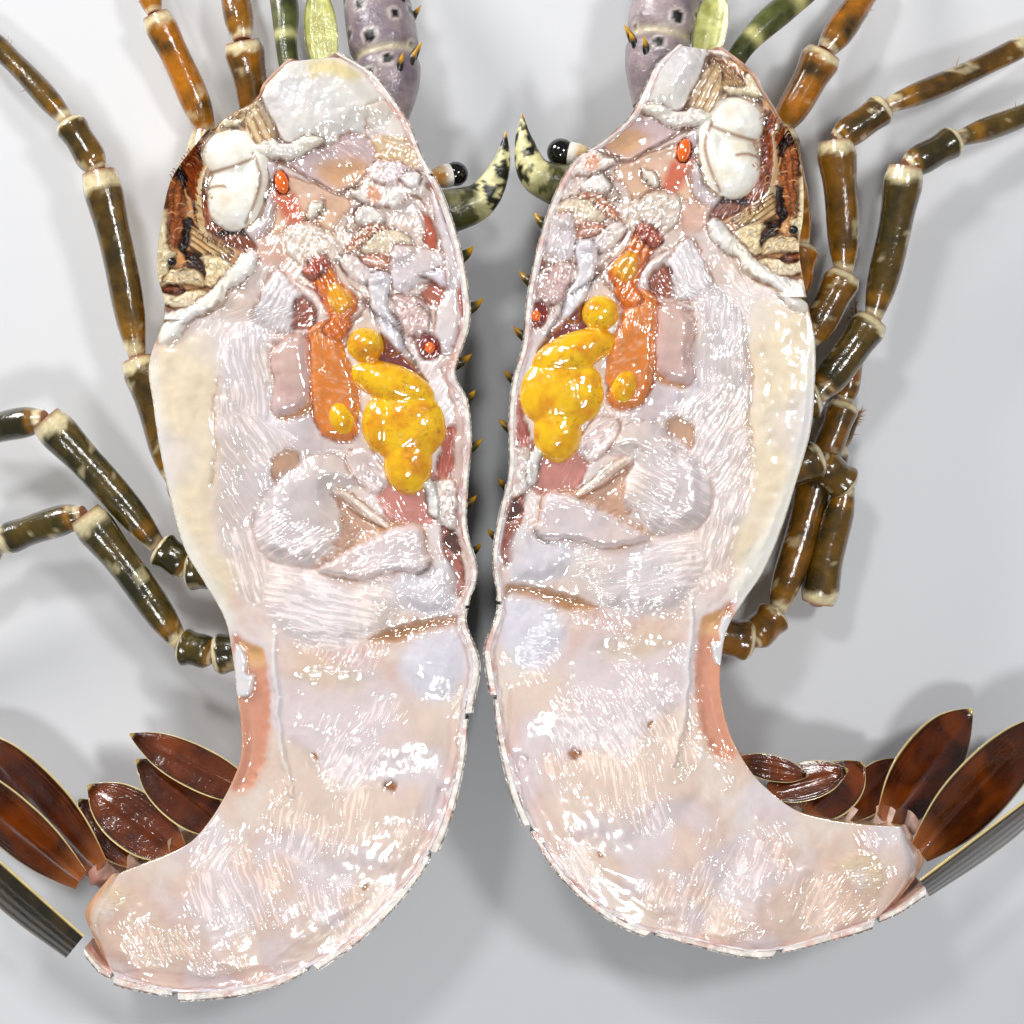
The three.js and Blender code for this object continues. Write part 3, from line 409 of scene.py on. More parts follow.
MOUTH_AREAS = [
    area("mouth ground", [(-92, 97), (-84, 100), (-66, 106), (-63, 103), (-67, 97), (-78, 86), (-76, 76),
         (-68, 69), (-64, 65), (-70, 60), (-76, 54), (-86, 48), (-94, 52), (-94, 80)], "#c9935f", -0.8, 1.5,
         BROWN_CREASE_SHADE, soft=0.5, scribble=0.6, glints=0.5),
    # The jaw bed's near-black edge line is a painted contact shadow round the jaw.
    area("jaw bed", [(-78.2, 88), (-78, 93), (-75, 96.3), (-71.5, 96.6), (-67, 95.6), (-64.5, 91),
         (-61.2, 86), (-60.8, 81), (-62.3, 75.5), (-66, 71), (-71.5, 72), (-75.5, 74.5), (-78, 78),
         (-78.6, 82)], "#bfa58e", -0.8, 0.8, "#3f2418", soft=0.4, glints=0.3),
    area("rust bed", [(-82.5, 92), (-79.5, 92.5), (-78, 87), (-77.5, 82), (-75.5, 77), (-72.5, 73.5),
         (-68, 70.8), (-66, 68), (-67, 66), (-71, 67.5), (-75.5, 70), (-79, 73.5), (-80.5, 79),
         (-82.5, 85)], "#b05a2c", -0.7, 0.8, "#3a150a", turn=120, stripes=(118, 1.1, 0.7, "#4d1e0e"),
         glints=0.6),
    area("rust pocket", [(-77.5, 77), (-75.5, 77), (-71.5, 72.5), (-73.5, 72), (-77, 74.5)], "#b5602f",
         -0.4, 0.8, "#4a1b0c", scribble=0.6),
    area("dark pit", [(-74.5, 70), (-72, 71.3), (-68.5, 70.9), (-66.8, 69.6), (-70, 69.8), (-72.5, 69.2)],
         "#150806", -1.6, 0.6, glints=0.2),
    area("brown tongue", [(-72, 69.4), (-67, 69.3), (-64.3, 67), (-65.5, 65), (-69, 66), (-73, 68.3)],
         "#8a4f37", -0.2, 0.8, "#3f190e", turn=150, glints=0.8),
    area("dark column", [(-86.6, 86.5), (-83, 87.6), (-81.2, 84), (-82.2, 81), (-84.8, 83.3), (-86.8, 84)],
         "#1f0b07", -0.9, 0.6, glints=0.4),
    area("bristle column", [(-86, 83.5), (-82.6, 82.5), (-82.4, 74), (-83, 67.5), (-85.3, 67), (-86, 74)],
         "#bb7040", 0.3, 0.6, "#2a100a", stripes=(82, 1.6, 0.5, "#4a1c0e"), glints=0.5),
    area("second dark column", [(-82, 73.5), (-79.8, 73), (-80, 69), (-82.3, 65), (-84, 67), (-83, 70.5)],
         "#170a08", -1.2, 0.6, glints=0.4),
    area("striped plate", [(-80.5, 72), (-76.5, 69), (-70, 64.8), (-74, 63.8), (-79, 64.6), (-80.8, 67.5)],
         "#dcc093", 0.5, 0.7, "#4f2a17", stripes=(146, 1.3, 0.6, "#6b4023"), turn=146, glints=0.7),
    area("dark triangle", [(-82.5, 65.5), (-79, 65), (-77.3, 62.5), (-77.3, 58.8), (-80, 61), (-84, 60),
         (-81.6, 62)], "#200b08", -1.3, 0.6, glints=0.4),
    area("plate 1", [(-85, 61), (-81, 61.4), (-78, 59.5), (-77.2, 56.4), (-82, 56.8), (-89, 56.2),
         (-88, 59)], "#e0cba2", 0.7, 0.8, "#5b2f1b", scribble=0.6, glints=0.6),
    area("plate 2", [(-88.5, 55.3), (-84, 54), (-80.5, 55.6), (-76.9, 55.4), (-77, 54), (-82.3, 49.9),
         (-87.4, 52.3)], "#ecdcb9", 1.1, 0.9, "#5b2f1b", scribble=0.4, glints=0.6),
    area("slot", [(-87.8, 56.2), (-84, 56.4), (-82.5, 55), (-86.8, 54.6)], "#8a4a2e", -0.4, 0.4, "#3f1c10"),
    area("plate 3", [(-78.6, 64.3), (-73.5, 64), (-69.7, 61.2), (-74, 56.6), (-77.3, 56.7), (-77.3, 61)],
         "#e7d6b0", 0.9, 0.8, "#5b2f1b", scribble=0.5, glints=0.6),
    area("cream side", [(-93, 90), (-87, 86), (-86.6, 76), (-86, 66.5), (-84.3, 64.8), (-89, 56),
         (-94, 58)], "#e4d3a8", 0.5, 1.0, "#6b3f28", scribble=0.4, glints=0.4),
    area("cream brow", [(-88, 88), (-82.5, 91.5), (-79, 95), (-74.5, 96.6), (-67.5, 96.8), (-67, 99),
         (-72, 100.5), (-76, 103), (-88, 98)], "#e9dbb8", 0.9, 0.9, "#4f2a17", scribble=0.3, glints=0.4),
    area("stubble", [(-73, 99.3), (-68.5, 98.6), (-65, 102), (-64.5, 105.5), (-68, 104)], "#c9a777", 0.2,
         0.7, "#6b3f28", stripes=(62, 1.0, 0.6, "#5b3420"), glints=0.5),
    area("folded plates", [(-66.8, 103.8), (-63.5, 104.5), (-61.5, 100), (-57.8, 93.2), (-61, 91.8),
         (-66.5, 92.5), (-67.2, 97)], "#dcc6a2", 0.6, 0.9, "#6b3f28", stripes=(118, 2.1, 0.7, "#96683f"),
         turn=118, glints=0.7),
    area("ivory band", [(-67.5, 93), (-64.5, 92), (-60, 93.3), (-56.5, 92.4), (-50, 93.7), (-46.8, 92.8),
         (-50.5, 89.8), (-57, 88), (-62, 88.8), (-66.5, 90)], "#f7f1e3", 1.6, 1.2, BROWN_CREASE_SHADE, turn=0,
         glints=0.4),
    area("chest cartilage", [(-88, 49), (-84.5, 50.6), (-81, 51.3), (-77, 54.6), (-74.3, 56.8), (-70.2, 61),
         (-68, 64.4), (-65, 66), (-63.2, 63.4), (-64.3, 60), (-67.5, 57), (-70.8, 55.2), (-72.6, 52),
         (-76, 49.4), (-80.5, 47.8), (-82, 45), (-88, 42)], "#faf6ee", 1.8, 1.3, "#8a6248", glints=0.35),
]
CHEST_AREAS = [
    area("fibre muscle top", [(-65, 49), (-61, 58), (-58, 60), (-54.5, 57), (-50, 51), (-49.8, 46.5),
         (-55, 44.5), (-60, 45.5)], "#dcd3d4", 0.7, 1.5, FAINT_CREASE_SHADE, turn=63, glints=1.3,
         stripes=(63, 1.35, 0.35, "#efe9ea")),
    area("cavity", [(-53, 54), (-50.4, 51.8), (-49.6, 49), (-50.5, 46.8), (-53, 45.8), (-55.3, 46.6)],
         "#a3604c", -1.7, 0.8, "#5d3227", glints=0.6),
    area("film round the cavity", [(-55, 58), (-49, 55), (-45.5, 50.5), (-45.7, 48.6), (-49, 44.6),
         (-57, 42.3), (-61, 43.2), (-55, 45.2), (-50.3, 46.2), (-49.2, 49), (-50, 52), (-53, 54.8)],
         "#e8d9d7", 1.0, 0.9, FAINT_CREASE_SHADE, glints=0.6),
    area("fibre muscle", [(-74, 32), (-73, 41), (-67, 48), (-62, 48), (-59.6, 43), (-60, 33), (-60, 24),
         (-65, 21), (-72, 23)], "#d6cac6", 0.8, 3, None, soft=1.2, turn=98, glints=1.5),
    area("fibre muscle low", [(-75, 10), (-73.5, 22), (-66, 24), (-58, 20), (-51, 15.5), (-56, 10),
         (-60, 4), (-63.5, -3), (-70, -4.5), (-75, 0)], "#d8cbc6", 0.5, 3, None, soft=1.4, turn=120,
         glints=1.5),
    area("fibre tail", [(-74, -2), (-67, -4), (-63.5, -4), (-61, -12), (-60, -22), (-67, -22), (-72, -14)],
         "#dbcec9", 0.4, 2.5, None, soft=1.5, turn=108, glints=1.5),
    area("pink muscle", [(-57.5, 43.3), (-51.5, 44), (-50.4, 37), (-49.5, 30), (-51, 26.4), (-54, 24),
         (-58, 22.9), (-60.3, 26), (-59.8, 34), (-60.2, 40)], "#d4b5ae", 1.9, 3.0, "#b98f7d", turn=90,
         glints=0.25),
    area("tan crescent", [(-57.5, 23.6), (-54, 24.8), (-51, 27.6), (-49.3, 30), (-49.6, 25.5), (-53, 22.8),
         (-56.5, 22)], "#c68f62", -0.2, 0.8, soft=0.6),
    area("clear flesh", [(-57, 21.5), (-50, 24.5), (-45, 20.5), (-42, 16), (-48, 13.5), (-56, 17)],
         "#d6c8c8", 0.3, 1.5, None, soft=1, turn=150, glints=1.0),
    area("tan pocket", [(-60, 13), (-57, 15.5), (-53.5, 14.5), (-55.5, 9), (-59.3, 7.5)], "#c9a48b", -0.7,
         1.2, "#a37d66", soft=0.6, glints=0.4),
    area("dome muscle", [(-64.5, -3), (-62.5, 3.5), (-57, 9), (-50, 14), (-43, 13.3), (-37, 9), (-38, 6.8),
         (-45, 5), (-41, -0.5), (-38, -4.5), (-43, -9.5), (-49, -13.5), (-55, -13.5), (-61, -12),
         (-64, -8)], "#d6c9c5", 2.2, 5.0, "#c2aba6", turn=28, glints=1.2),
    area("rosy trough", [(-44, 5), (-38.5, 2), (-30.5, -3.4), (-38, -6.5), (-44, -8.5), (-42, -3)],
         "#cda893", -1.4, 1.3, "#b08570", turn=140, glints=0.6),
    area("strands", [(-45, 6.2), (-40, 4.5), (-34, -0.5), (-29.5, -4.3), (-33, -4), (-38, -0.6), (-42, 3)],
         "#efe3d8", 1.2, 0.8, "#a57f63", turn=140, glints=1.5, stripes=(141, 1.2, 0.45, "#c9a88e")),
    area("rosy bed", [(-36, 9), (-30, 7), (-24, 6), (-19.5, 10), (-18.5, 4), (-20, -2.5), (-25, -3.6),
         (-30, -2.8), (-33, 2)], "#c98c82", -0.9, 1.5, "#a4655a", turn=120, glints=0.8),
    area("torn film", [(-42, 14), (-36, 16), (-32, 11), (-31, 7), (-34, 4.5), (-39, 8)], "#dccbc8", 0.5,
         1.2, FAINT_CREASE_SHADE, turn=145, glints=1.4, scribble=0.5),
    area("gland", [(-51, 45), (-48.5, 47.5), (-46, 48), (-43.5, 44), (-41, 38), (-39, 33), (-38.4, 25),
         (-39.5, 18.5), (-44, 17.6), (-47.5, 19.5), (-50, 25), (-50.6, 34)], "#dd8747", 1.3, 2.2, "#a34f2c",
         scribble=0.3, turn=100, glints=0.9),
    area("duct", [(-52.3, 60.7), (-50, 63), (-47.6, 64.6), (-45.6, 62.5), (-43, 57.5), (-38.8, 53),
         (-40.5, 47), (-43, 43), (-47, 45), (-46, 49.5), (-48.5, 55)], "#cf6a30", 1.0, 1.6, "#8c3a1c",
         turn=120, stripes=(118, 1.9, 0.3, "#e58b3c"), glints=1.0),
    area("duct top", [(-52.6, 60.8), (-50, 63.2), (-47.4, 64.8), (-45.8, 62.8), (-47.5, 59.6),
         (-50.3, 58.2)], "#a84420", 0.3, 0.8, "#401208", scribble=0.6, glints=0.8),
    area("yellow of the duct", [(-46, 56.5), (-43.4, 57.4), (-40.3, 54), (-40.6, 50.5), (-43.5, 49.5),
         (-46, 52)], "#efaa20", 0.9, 1.6, "#c9702a", soft=0.5, turn=120, glints=0.7),
    area("dark red bed", [(-33, 45), (-28, 40), (-24, 36.5), (-20.5, 31), (-22, 30), (-30, 36), (-35, 38)],
         "#7d3a33", -1.2, 1, None, soft=0.6, glints=0.5),
    area("orange halo", [(-24, 43), (-21.5, 44.7), (-18.8, 43.5), (-17.8, 41), (-19.3, 38.8),
         (-22.5, 38.6)], "#7a2114", -0.9, 0.8, "#4a120b", glints=0.8),
    area("red strip", [(-14.6, 21.5), (-16.4, 20), (-18.3, 12), (-19.2, 6.3), (-16.8, 6.6), (-15, 12),
         (-13.9, 19)], "#aa5a4d", -0.7, 0.8, "#7c3a30", turn=78, glints=1.6),
    area("rim lining", [(-14, 35), (-11.9, 28), (-11.4, 18), (-12.4, 6), (-12.3, -3), (-14.5, -2), (-15, 8),
         (-14, 18), (-15.3, 29), (-17.5, 36)], "#d9c0b8", 0.2, 0.8, "#b08d80", turn=95, glints=0.7),
    area("shreds", [(-19, 7.5), (-14, 7.5), (-13.5, 0), (-15, -5), (-19, -2.5), (-20.3, 2)], "#dccfc8", 0.6,
         0.8, FAINT_CREASE_SHADE, scribble=1.0, glints=1.4),
    area("white shred", [(-22.9, 7.4), (-20.6, 8.4), (-19.6, 7), (-18.2, -0.6), (-20.6, -0.7), (-21.6, 5)],
         "#f1f0ec", 1.3, 0.6, "#7d6a5d", glints=0.4),
    area("red side", [(-18, -4), (-15, -6), (-12.6, -12), (-12.4, -20), (-14.6, -20.5), (-15.2, -14),
         (-17, -9.5)], "#ad6a5a", -0.8, 0.8, "#7a4034", scribble=0.4, glints=0.7),
    area("side flap", [(-17.2, -7.4), (-14.6, -5), (-12.2, -9.8), (-14.8, -10.3)], "#5d3c31", -0.8, 0.6,
         glints=0.3),
    area("ivory glow", [(-89, 40), (-84, 43), (-76, 45), (-73.5, 36), (-75, 24), (-74, 12), (-75.5, 0),
         (-73, -8), (-70, -16), (-72, -24), (-78, -16), (-84, -4), (-90, 20)], "#f3e4cb", 0.4, 3, None,
         soft=2.4, turn=95, glints=0.2),
    area("ivory edge", [(-93, 40), (-88.6, 36), (-87.6, 26), (-86, 12), (-83, 0), (-79.5, -9), (-74, -19),
         (-69.5, -27), (-75, -30), (-92, 0)], "#fbf6ec", 0.5, 1.5, None, soft=2.2, glints=0.15),
    area("folded muscle", [(-49, -14.5), (-42, -10), (-34, -6), (-27, -2.9), (-23.5, -2.9), (-21.6, -5.4),
         (-21.7, -9), (-20.2, -12.6), (-22.6, -15.2), (-30, -15), (-38, -17)], "#dfcfcc", 2.0, 1.6,
         "#b58a6c", turn=22, glints=0.9),
    area("lower muscle", [(-60, -14), (-50, -15), (-40, -18), (-31, -15.5), (-27, -22), (-33, -30),
         (-44, -34), (-56, -32), (-62, -24)], "#e2d6d3", 1.2, 5, None, soft=2, turn=168, glints=1.5),
    area("back muscle", [(-29, -16), (-22.4, -15.6), (-18, -12.3), (-15.2, -14.5), (-14.4, -20),
         (-15, -25.5), (-21, -26), (-29, -23)], "#e0dade", 1.3, 4, None, soft=1.6, turn=50, glints=0.7),
    area("brown groove", [(-36, -31.5), (-28, -28.3), (-20, -26.4), (-13.3, -26), (-13.4, -29.4),
         (-20, -29.8), (-28, -32.5)], "#b98b66", -1.3, 1.8, None, soft=1.2, glints=0.5),
]
TAIL_AREAS = [
    area("bluish muscle", [(-25, -32), (-20, -30.3), (-13.4, -29.5), (-11.5, -36), (-12, -44), (-18, -48),
         (-25, -44), (-28, -38)], "#e6e2e8", 0.8, 6, None, soft=3, turn=10, glints=1.0),
    area("tan depth", [(-55, -40), (-46, -38), (-36, -40), (-33, -43), (-42, -46), (-52, -45)], "#e0cdbd",
         -0.4, 3, None, soft=2.5, turn=0, glints=0.5),
    area("belly skin", [(-71, -33), (-66, -33), (-62, -35.5), (-60.3, -42), (-60.5, -54), (-62, -64),
         (-66, -70), (-72, -66)], "#dca188", -0.9, 2.5, None, soft=1.4, turn=95, glints=0.8),
    area("tan corner", [(-69, -33), (-63, -34), (-61.5, -38), (-65, -39.5), (-68, -37)], "#e0b080", 0, 1,
         soft=0.8),
    area("white belly flap", [(-69.8, -34), (-67.6, -34.6), (-66.3, -38), (-66.4, -40.6), (-64.4, -41),
         (-64.6, -43.6), (-66.2, -47), (-69.6, -45)], "#f7f3ee", 1.4, 0.8, "#c99f86", glints=0.4),
    area("nerve", [(-60, -32), (-59.2, -31), (-58.3, -45), (-57, -57), (-54.6, -70), (-56, -70),
         (-58.4, -58), (-59.6, -46)], "#f3edea", 0.8, 0.8, None, glints=0.6),
    area("second muscle", [(-57, -48), (-46, -46), (-30, -48), (-17, -50), (-16, -62), (-28, -66),
         (-44, -68), (-55, -62)], "#e8d5cd", 0.9, 8, None, soft=3.5, turn=60, glints=1.2),
    area("third muscle", [(-57, -64), (-44, -70), (-30, -68), (-19, -66), (-20, -80), (-30, -92),
         (-46, -90), (-62, -80)], "#e7d3ca", 0.9, 8, None, soft=3.5, turn=75, glints=1.2),
    area("fourth muscle", [(-64, -82), (-47, -92), (-33, -95), (-44, -108), (-60, -116), (-66, -104),
         (-72, -92)], "#e5cfc5", 0.9, 8, None, soft=3.5, turn=110, glints=1.2),
    area("fifth muscle", [(-74, -90), (-69, -104), (-64, -116.5), (-80, -119), (-90, -112), (-90, -96)],
         "#e3cbc0", 0.9, 8, None, soft=3.5, turn=115, glints=1.3),
    area("last muscle", [(-92, -94), (-92, -112), (-88, -118), (-100, -115), (-106, -108), (-106, -97)],
         "#dec0b2", 0.6, 6, None, soft=3, turn=130, glints=1.2),
    area("brown fleck 1", [(-32, -68.6), (-30.6, -67.3), (-29, -68), (-30, -69.6)], "#a4693f", -0.4, 0.6,
         "#7a4a2c"),
    area("brown fleck 2", [(-37.6, -94.2), (-36.6, -93.2), (-35.7, -94), (-36.6, -95)], "#b07c56", -0.3,
         0.5),
    area("brown fleck 3", [(-50, -61), (-49.2, -60.2), (-48.4, -61), (-49.2, -61.8)], "#b98a66", -0.3, 0.5),
    area("red fleck", [(-18.4, -71), (-17, -69), (-15.7, -71), (-17, -73)], "#9c4a44", -0.3, 0.6,
         "#74302c"),
    area("rosy edge", [(-14, -52), (-13.6, -64), (-18.8, -80), (-27, -94), (-29, -92), (-22, -79),
         (-17, -64), (-16, -53)], "#e8cfc8", -0.2, 1.2, None, soft=1.4, glints=0.6),
    area("rosy end", [(-98, -116), (-90, -118.5), (-78, -119.5), (-60, -116.5), (-62, -114), (-78, -116),
         (-92, -114)], "#e6c6bc", -0.2, 1.2, None, soft=1.5, glints=0.7),
    area("joint film", [(-108, -98), (-105, -93), (-100, -92.5), (-97, -96), (-101, -101), (-106, -104)],
         "#e6cfb6", 0.3, 1.5, None, soft=1.5, scribble=0.2, glints=0.8),
]
AREAS = HEAD_AREAS + MOUTH_AREAS + CHEST_AREAS + TAIL_AREAS
# A dark stroke has a name, its points, half its width and its colour. Most are painted shade sunk
# into a crease, and one is a row of dark flecks.
CREASE_SHADES_AND_FLECKS = [
    ("edge of the film", [(-61, 88.6), (-55, 86), (-49.5, 82.8), (-43, 79.6), (-39, 81.8), (-34.6, 87.6)],
     0.45, "#6f4a37"),
    ("muscle and plates", [(-64, 104.6), (-61, 99.5), (-58.3, 93.6), (-56, 92.3)], 0.45, "#5b3826"),
    ("peach crease", [(-52.5, 73), (-49, 72.4), (-46.4, 70)], 0.45, "#8b5a3c"),
    ("stalk shadow", [(-37.5, 52.6), (-35, 50.3), (-31, 47.5), (-28, 45), (-26.6, 41), (-24, 37), (-21, 32)],
     0.5, "#3b2019"),
    ("stalk crease", [(-41.8, 41), (-41, 45), (-38, 49.5), (-36.6, 52.5)], 0.4, "#8d4a30"),
    ("fold notch", [(-23.8, -15.7), (-22, -14.3), (-20.7, -12.8)], 0.5, "#3d2a22"),
    ("muscle crease", [(-45, 4.4), (-41, 1), (-37, -2), (-32, -4.5)], 0.4, "#9a6f55"),
    ("fold crease", [(-50, -13.5), (-42, -9), (-34, -5.2), (-27.5, -2.2)], 0.5, "#bd9272"),
    ("chest crease", [(-73.5, 33.5), (-74.6, 26), (-74, 17), (-75.3, 6)], 0.4, "#c9a992"),
    ("flecks", [(-23.6, 52), (-22, 51), (-20.8, 49.4), (-20.4, 47.5)], 0.35, "#3f231c"),
    ("sternum crease", [(-82, 47), (-76, 50), (-73, 52.6)], 0.35, "#a58064"),
]
print(len(AREAS), "areas, such as the", AREAS[1]["name"])
print(len(CREASE_SHADES_AND_FLECKS), "creases, such as the", CREASE_SHADES_AND_FLECKS[0][0])

# %% [markdown]
# How deep a place lies inside an outline is its distance to the nearest side, and negative outside. From that
# depth come the soft step in height, the colour and the dark line of painted shade in the crease at the edge.

# %% Relief, colour and grain of the cut face
def depth_inside(x, y, outline):
    knots = np.array(outline, float)
    knots = np.vstack([knots[-1], knots, knots[:2]])
    loop = curve_through(knots)(np.arange(1, len(knots) - 2, 0.2))
    depth = np.full(x.shape, -9.0)
    low, high = loop.min(axis=0) - 3, loop.max(axis=0) + 3
    near = (x > low[0]) & (x < high[0]) & (y > low[1]) & (y < high[1])
    if not near.any():
        return depth
    px, py = x[near][:, None], y[near][:, None]
    ax, ay = loop[:, 0], loop[:, 1]
    bx, by = np.roll(ax, -1), np.roll(ay, -1)
    dx, dy = bx - ax, by - ay
    share = np.clip(((px - ax) * dx + (py - ay) * dy) / (dx**2 + dy**2), 0, 1)
    away = np.sqrt(((px - ax - share * dx) ** 2 + (py - ay - share * dy) ** 2).min(axis=1))
    crosses = (ay > py) != (by > py)
    meets = ax + (py - ay) * dx / np.where(dy == 0, 1e-9, dy)
    inside = (crosses & (px < meets)).sum(axis=1) % 2 == 1
    depth[near] = np.where(inside, away, -away)
    return depth


def stroke_share(x, y, points, width):
    path = curve_through(points)(np.arange(0, len(points) - 1, 0.07))
    nearest = np.full(x.shape, 1e9)
    for px, py in path:
        nearest = np.minimum(nearest, (x - px) ** 2 + (y - py) ** 2)
    return np.exp(-nearest / width**2)


def cut_face(x, y):
    flat = np.column_stack([x, y, np.zeros_like(x)])
    wide, middle, fine = lumpy(flat, 13, 3, 2.0), lumpy(flat, 4.5, 3, 1.0), lumpy(flat, 1.5, 3, 5.0)
    ragged = lumpy(flat, 2.2, 2, 8.7)
    wx, wy = x + 0.5 * ragged + 0.5 * middle, y - 0.5 * ragged + 0.5 * wide
    scrawl_glint = np.exp(-(lumpy(flat * np.array([1.0, 1.6, 1]), 3.0, 2, 4.0) / 0.075) ** 2)
    crease = np.exp(-(lumpy(flat * np.array([1.5, 1.0, 1]), 3.4, 2, 14.0) / 0.045) ** 2)
    calm = 1 - 0.5 * ramp(-y, 30, 50)
    height = 0.32 * calm * middle + 0.03 * fine
    colour = mixed(WHITE_FLESH, PINK_FLESH, np.clip(0.3 + 0.9 * wide + 0.35 * middle, 0, 0.9))
    turns = np.full(x.shape, 60.0)
    glints = np.full(x.shape, 0.9)
    for a in AREAS:
        depth = depth_inside(wx, wy, a["outline"])
        share = ramp(depth, -a["soft"], a["soft"])
        if not share.any():
            continue
        height += a["rise"] * ramp(depth, -0.4, a["bevel"])
        tone = a["colour"] * (1 + 0.1 * calm * middle + 0.03 * fine)[:, None]
        if a["stripes"]:
            turn, spacing, rise, code = a["stripes"]
            aside = -wx * math.sin(math.radians(turn)) + wy * math.cos(math.radians(turn))
            wave = np.sin(2 * np.pi * aside / spacing + 1.2 * middle)
            height += share * rise * wave
            tone = mixed(tone, tint(code), ramp(wave, 0.1, 0.8) * 0.8)
        # Crinkled films: the raised scrawls are whitened as painted highlight, and the sunk creases are
        # painted brown as shade.
        if a["scribble"]:
            height += share * a["scribble"] * (0.6 * scrawl_glint - 0.4 * crease)
            tone = mixed(tone, tint("#a87558"), np.clip(crease * a["scribble"] * 0.75, 0, 1))
            tone = mixed(tone, tint("#fbf6f0"), np.clip(scrawl_glint * a["scribble"] * 0.7, 0, 1))
        colour = mixed(colour, tone, share)
        turns = np.where(share > 0.5, a["turn"], turns)
        glints = glints * (1 - share) + a["glints"] * share
        # The dark line is painted shade in the crease sunk round the area's edge.
        if a["line"] is not None:
            edge = np.exp(-((depth + 0.05) / 0.38) ** 2)
            height -= 0.45 * edge
            colour = mixed(colour, a["line"], np.clip(edge * (0.8 + 0.9 * ragged), 0, 0.95))
    drift = lumpy(flat, 17, 2, 31.0) * ramp(colour[:, :3].mean(axis=1), 0.45, 0.6) * (1.2 - calm)
    colour = mixed(colour, tint("#e9e5ee"), np.clip(2.6 * drift, 0, 0.4))
    colour = mixed(colour, tint("#f2dfc8"), np.clip(-2.2 * drift, 0, 0.3))
    # Each dark stroke is sunk and painted dark: mostly painted shade along a crease.
    for _, points, width, code in CREASE_SHADES_AND_FLECKS:
        share = stroke_share(wx, wy, points, width)
        height -= 0.6 * share
        colour = mixed(colour, tint(code), share * 0.85)
    angle = np.radians(turns)
    along, aside = x * np.cos(angle) + y * np.sin(angle), y * np.cos(angle) - x * np.sin(angle)
    grain = np.column_stack([along, aside + 1.1 * wide + 0.12 * middle, glints, np.ones_like(x)])
    return height, colour, grain


print("relief at the dome muscle:", cut_face(np.array([-50.0]), np.array([0.0]))[0])

# %% [markdown]
# One skin covers the flesh of chest and tail and the breastplate, so that no seam shows where they meet.
# Going round it, the first part is the cut face, from the belly edge to the back edge, then come the hidden
# underside and the belly's side. The rows stand close together in the chest, where the small forms are.

# %% Flesh of a half
FACE_PART = 0.8
HIDDEN_PART = 0.87
HIDDEN_END = 146.0
SEAM = 0.985
FLESH_GRID = (500, 190)
FLESH_ENDS = (0.25, 26.95)
FLESH_ROWS = [0, 3.1, 6.2, 9.3, 12.4, 15.5, 18.2, 21.1, 24.0, 26.7]


def flesh_station(u):
    run = curve_through(FLESH_ROWS)(u * 9)[:, 0] / FLESH_ROWS[-1]
    return FLESH_ENDS[0] + (FLESH_ENDS[1] - FLESH_ENDS[0]) * np.clip(run, 0, 1)


def mouth_share(t):
    return ramp(t, 3.0, 3.6) * (1 - ramp(t, 7.7, 8.3))


def flesh_inset(t):
    return 1.7 * (1 - ramp(t, 3.0, 3.6)) + mouth_share(t) * lining_at(t)[:, 0] + 0.15 * ramp(t, 7.7, 8.3)


def flesh_spots(half, t, share):
    back, belly = half.edges(t)
    inward = (back - belly) / np.linalg.norm(back - belly, axis=1)[:, None]
    belly_edge = belly + inward * flesh_inset(t)[:, None]
    back_edge = back - inward * 0.45
    return belly_edge, belly_edge * (1 - share)[:, None] + back_edge * share[:, None]


def flesh_place(half, faces):
    def place(u, w):
        share = np.clip(w / FACE_PART, 0, 1)
        t = flesh_station(u) - 0.9 * ramp(u, 0.93, 1.0) * (2 * share - 1) ** 2
        belly_edge, flat = flesh_spots(half, t, share)
        x, y = half.to_left(flat)
        faces[half.name] = cut_face(x, y)
        fade = ramp(share, 0, 0.05) * ramp(1 - share, 0, 0.04)
        end = ramp(u, 0.95, 1.0)
        low = CUT - 0.9 - 5.0 * end**2
        relief = fade * (1 - end) * faces[half.name][0]
        face = np.column_stack([flat, low + 0.3 * np.sin(np.pi * share) + relief])
        hidden = (w - FACE_PART) / (HIDDEN_PART - FACE_PART) * HIDDEN_END
        belly_side = HIDDEN_END + (180 - HIDDEN_END) * (w - HIDDEN_PART) / (1 - HIDDEN_PART)
        angle = np.where(w < HIDDEN_PART, hidden, belly_side)
        angle = np.clip(angle, 0, 180)
        under = half.skin(t, angle, np.where(angle < HIDDEN_END + 1, -1.9, -0.3))
        to_edge = ramp(angle, HIDDEN_END, 180) * np.maximum(mouth_share(t), 1 - ramp(t, 3.0, 3.6))
        edge = np.column_stack([belly_edge, low])
        slanted = under * (1 - to_edge)[:, None] + edge * to_edge[:, None]
        slanted[:, 2] = np.minimum(slanted[:, 2], low)
        closing = ramp(w, SEAM, 1.0)[:, None]
        slanted = slanted * (1 - closing) + edge * closing
        return np.where((w <= FACE_PART)[:, None], face, slanted)

    return place


def flesh_colour(half, faces):
    def colour(spots, u, w):
        shades = faces[half.name][1]
        t = flesh_station(u)
        warm = 0.5 + 0.5 * lumpy(spots, 6, 3, 4.0)
        across = np.linalg.norm(half.back(t) - half.belly(t), axis=1)
        to_rim = (1 - np.clip(w / FACE_PART, 0, 1)) * across
        uneven = 1.5 + 0.7 * lumpy(np.column_stack([spots[:, 0], spots[:, 1], 0 * t]), 4, 3, 3.0)
        rim = mixed(tint("#f4ecee"), tint("#d8a79d"), np.clip(lumpy(spots, 6, 3, 9.0) * 1.6, 0, 0.9))
        shades = mixed(shades, tint("#c08f84"), np.exp(-((to_rim - uneven - 0.25) / 0.3) ** 2) * 0.6)
        shades = mixed(shades, rim, 1 - ramp(to_rim, uneven - 0.3, uneven + 0.2))
        side = ramp(w, HIDDEN_PART, HIDDEN_PART + 0.02)
        skin_tone = mixed(tint("#d3b27e"), tint("#e4d5b8"), np.clip(warm, 0, 1))
        shades = mixed(shades, skin_tone, side)
        return mixed(shades, tint("#d59a6e"), ramp(t, 26.3, 26.9) * 0.8)

    return colour


print("flesh of the left half begins at", flesh_station(np.array([0.0])), "and ends at", FLESH_ENDS[1])
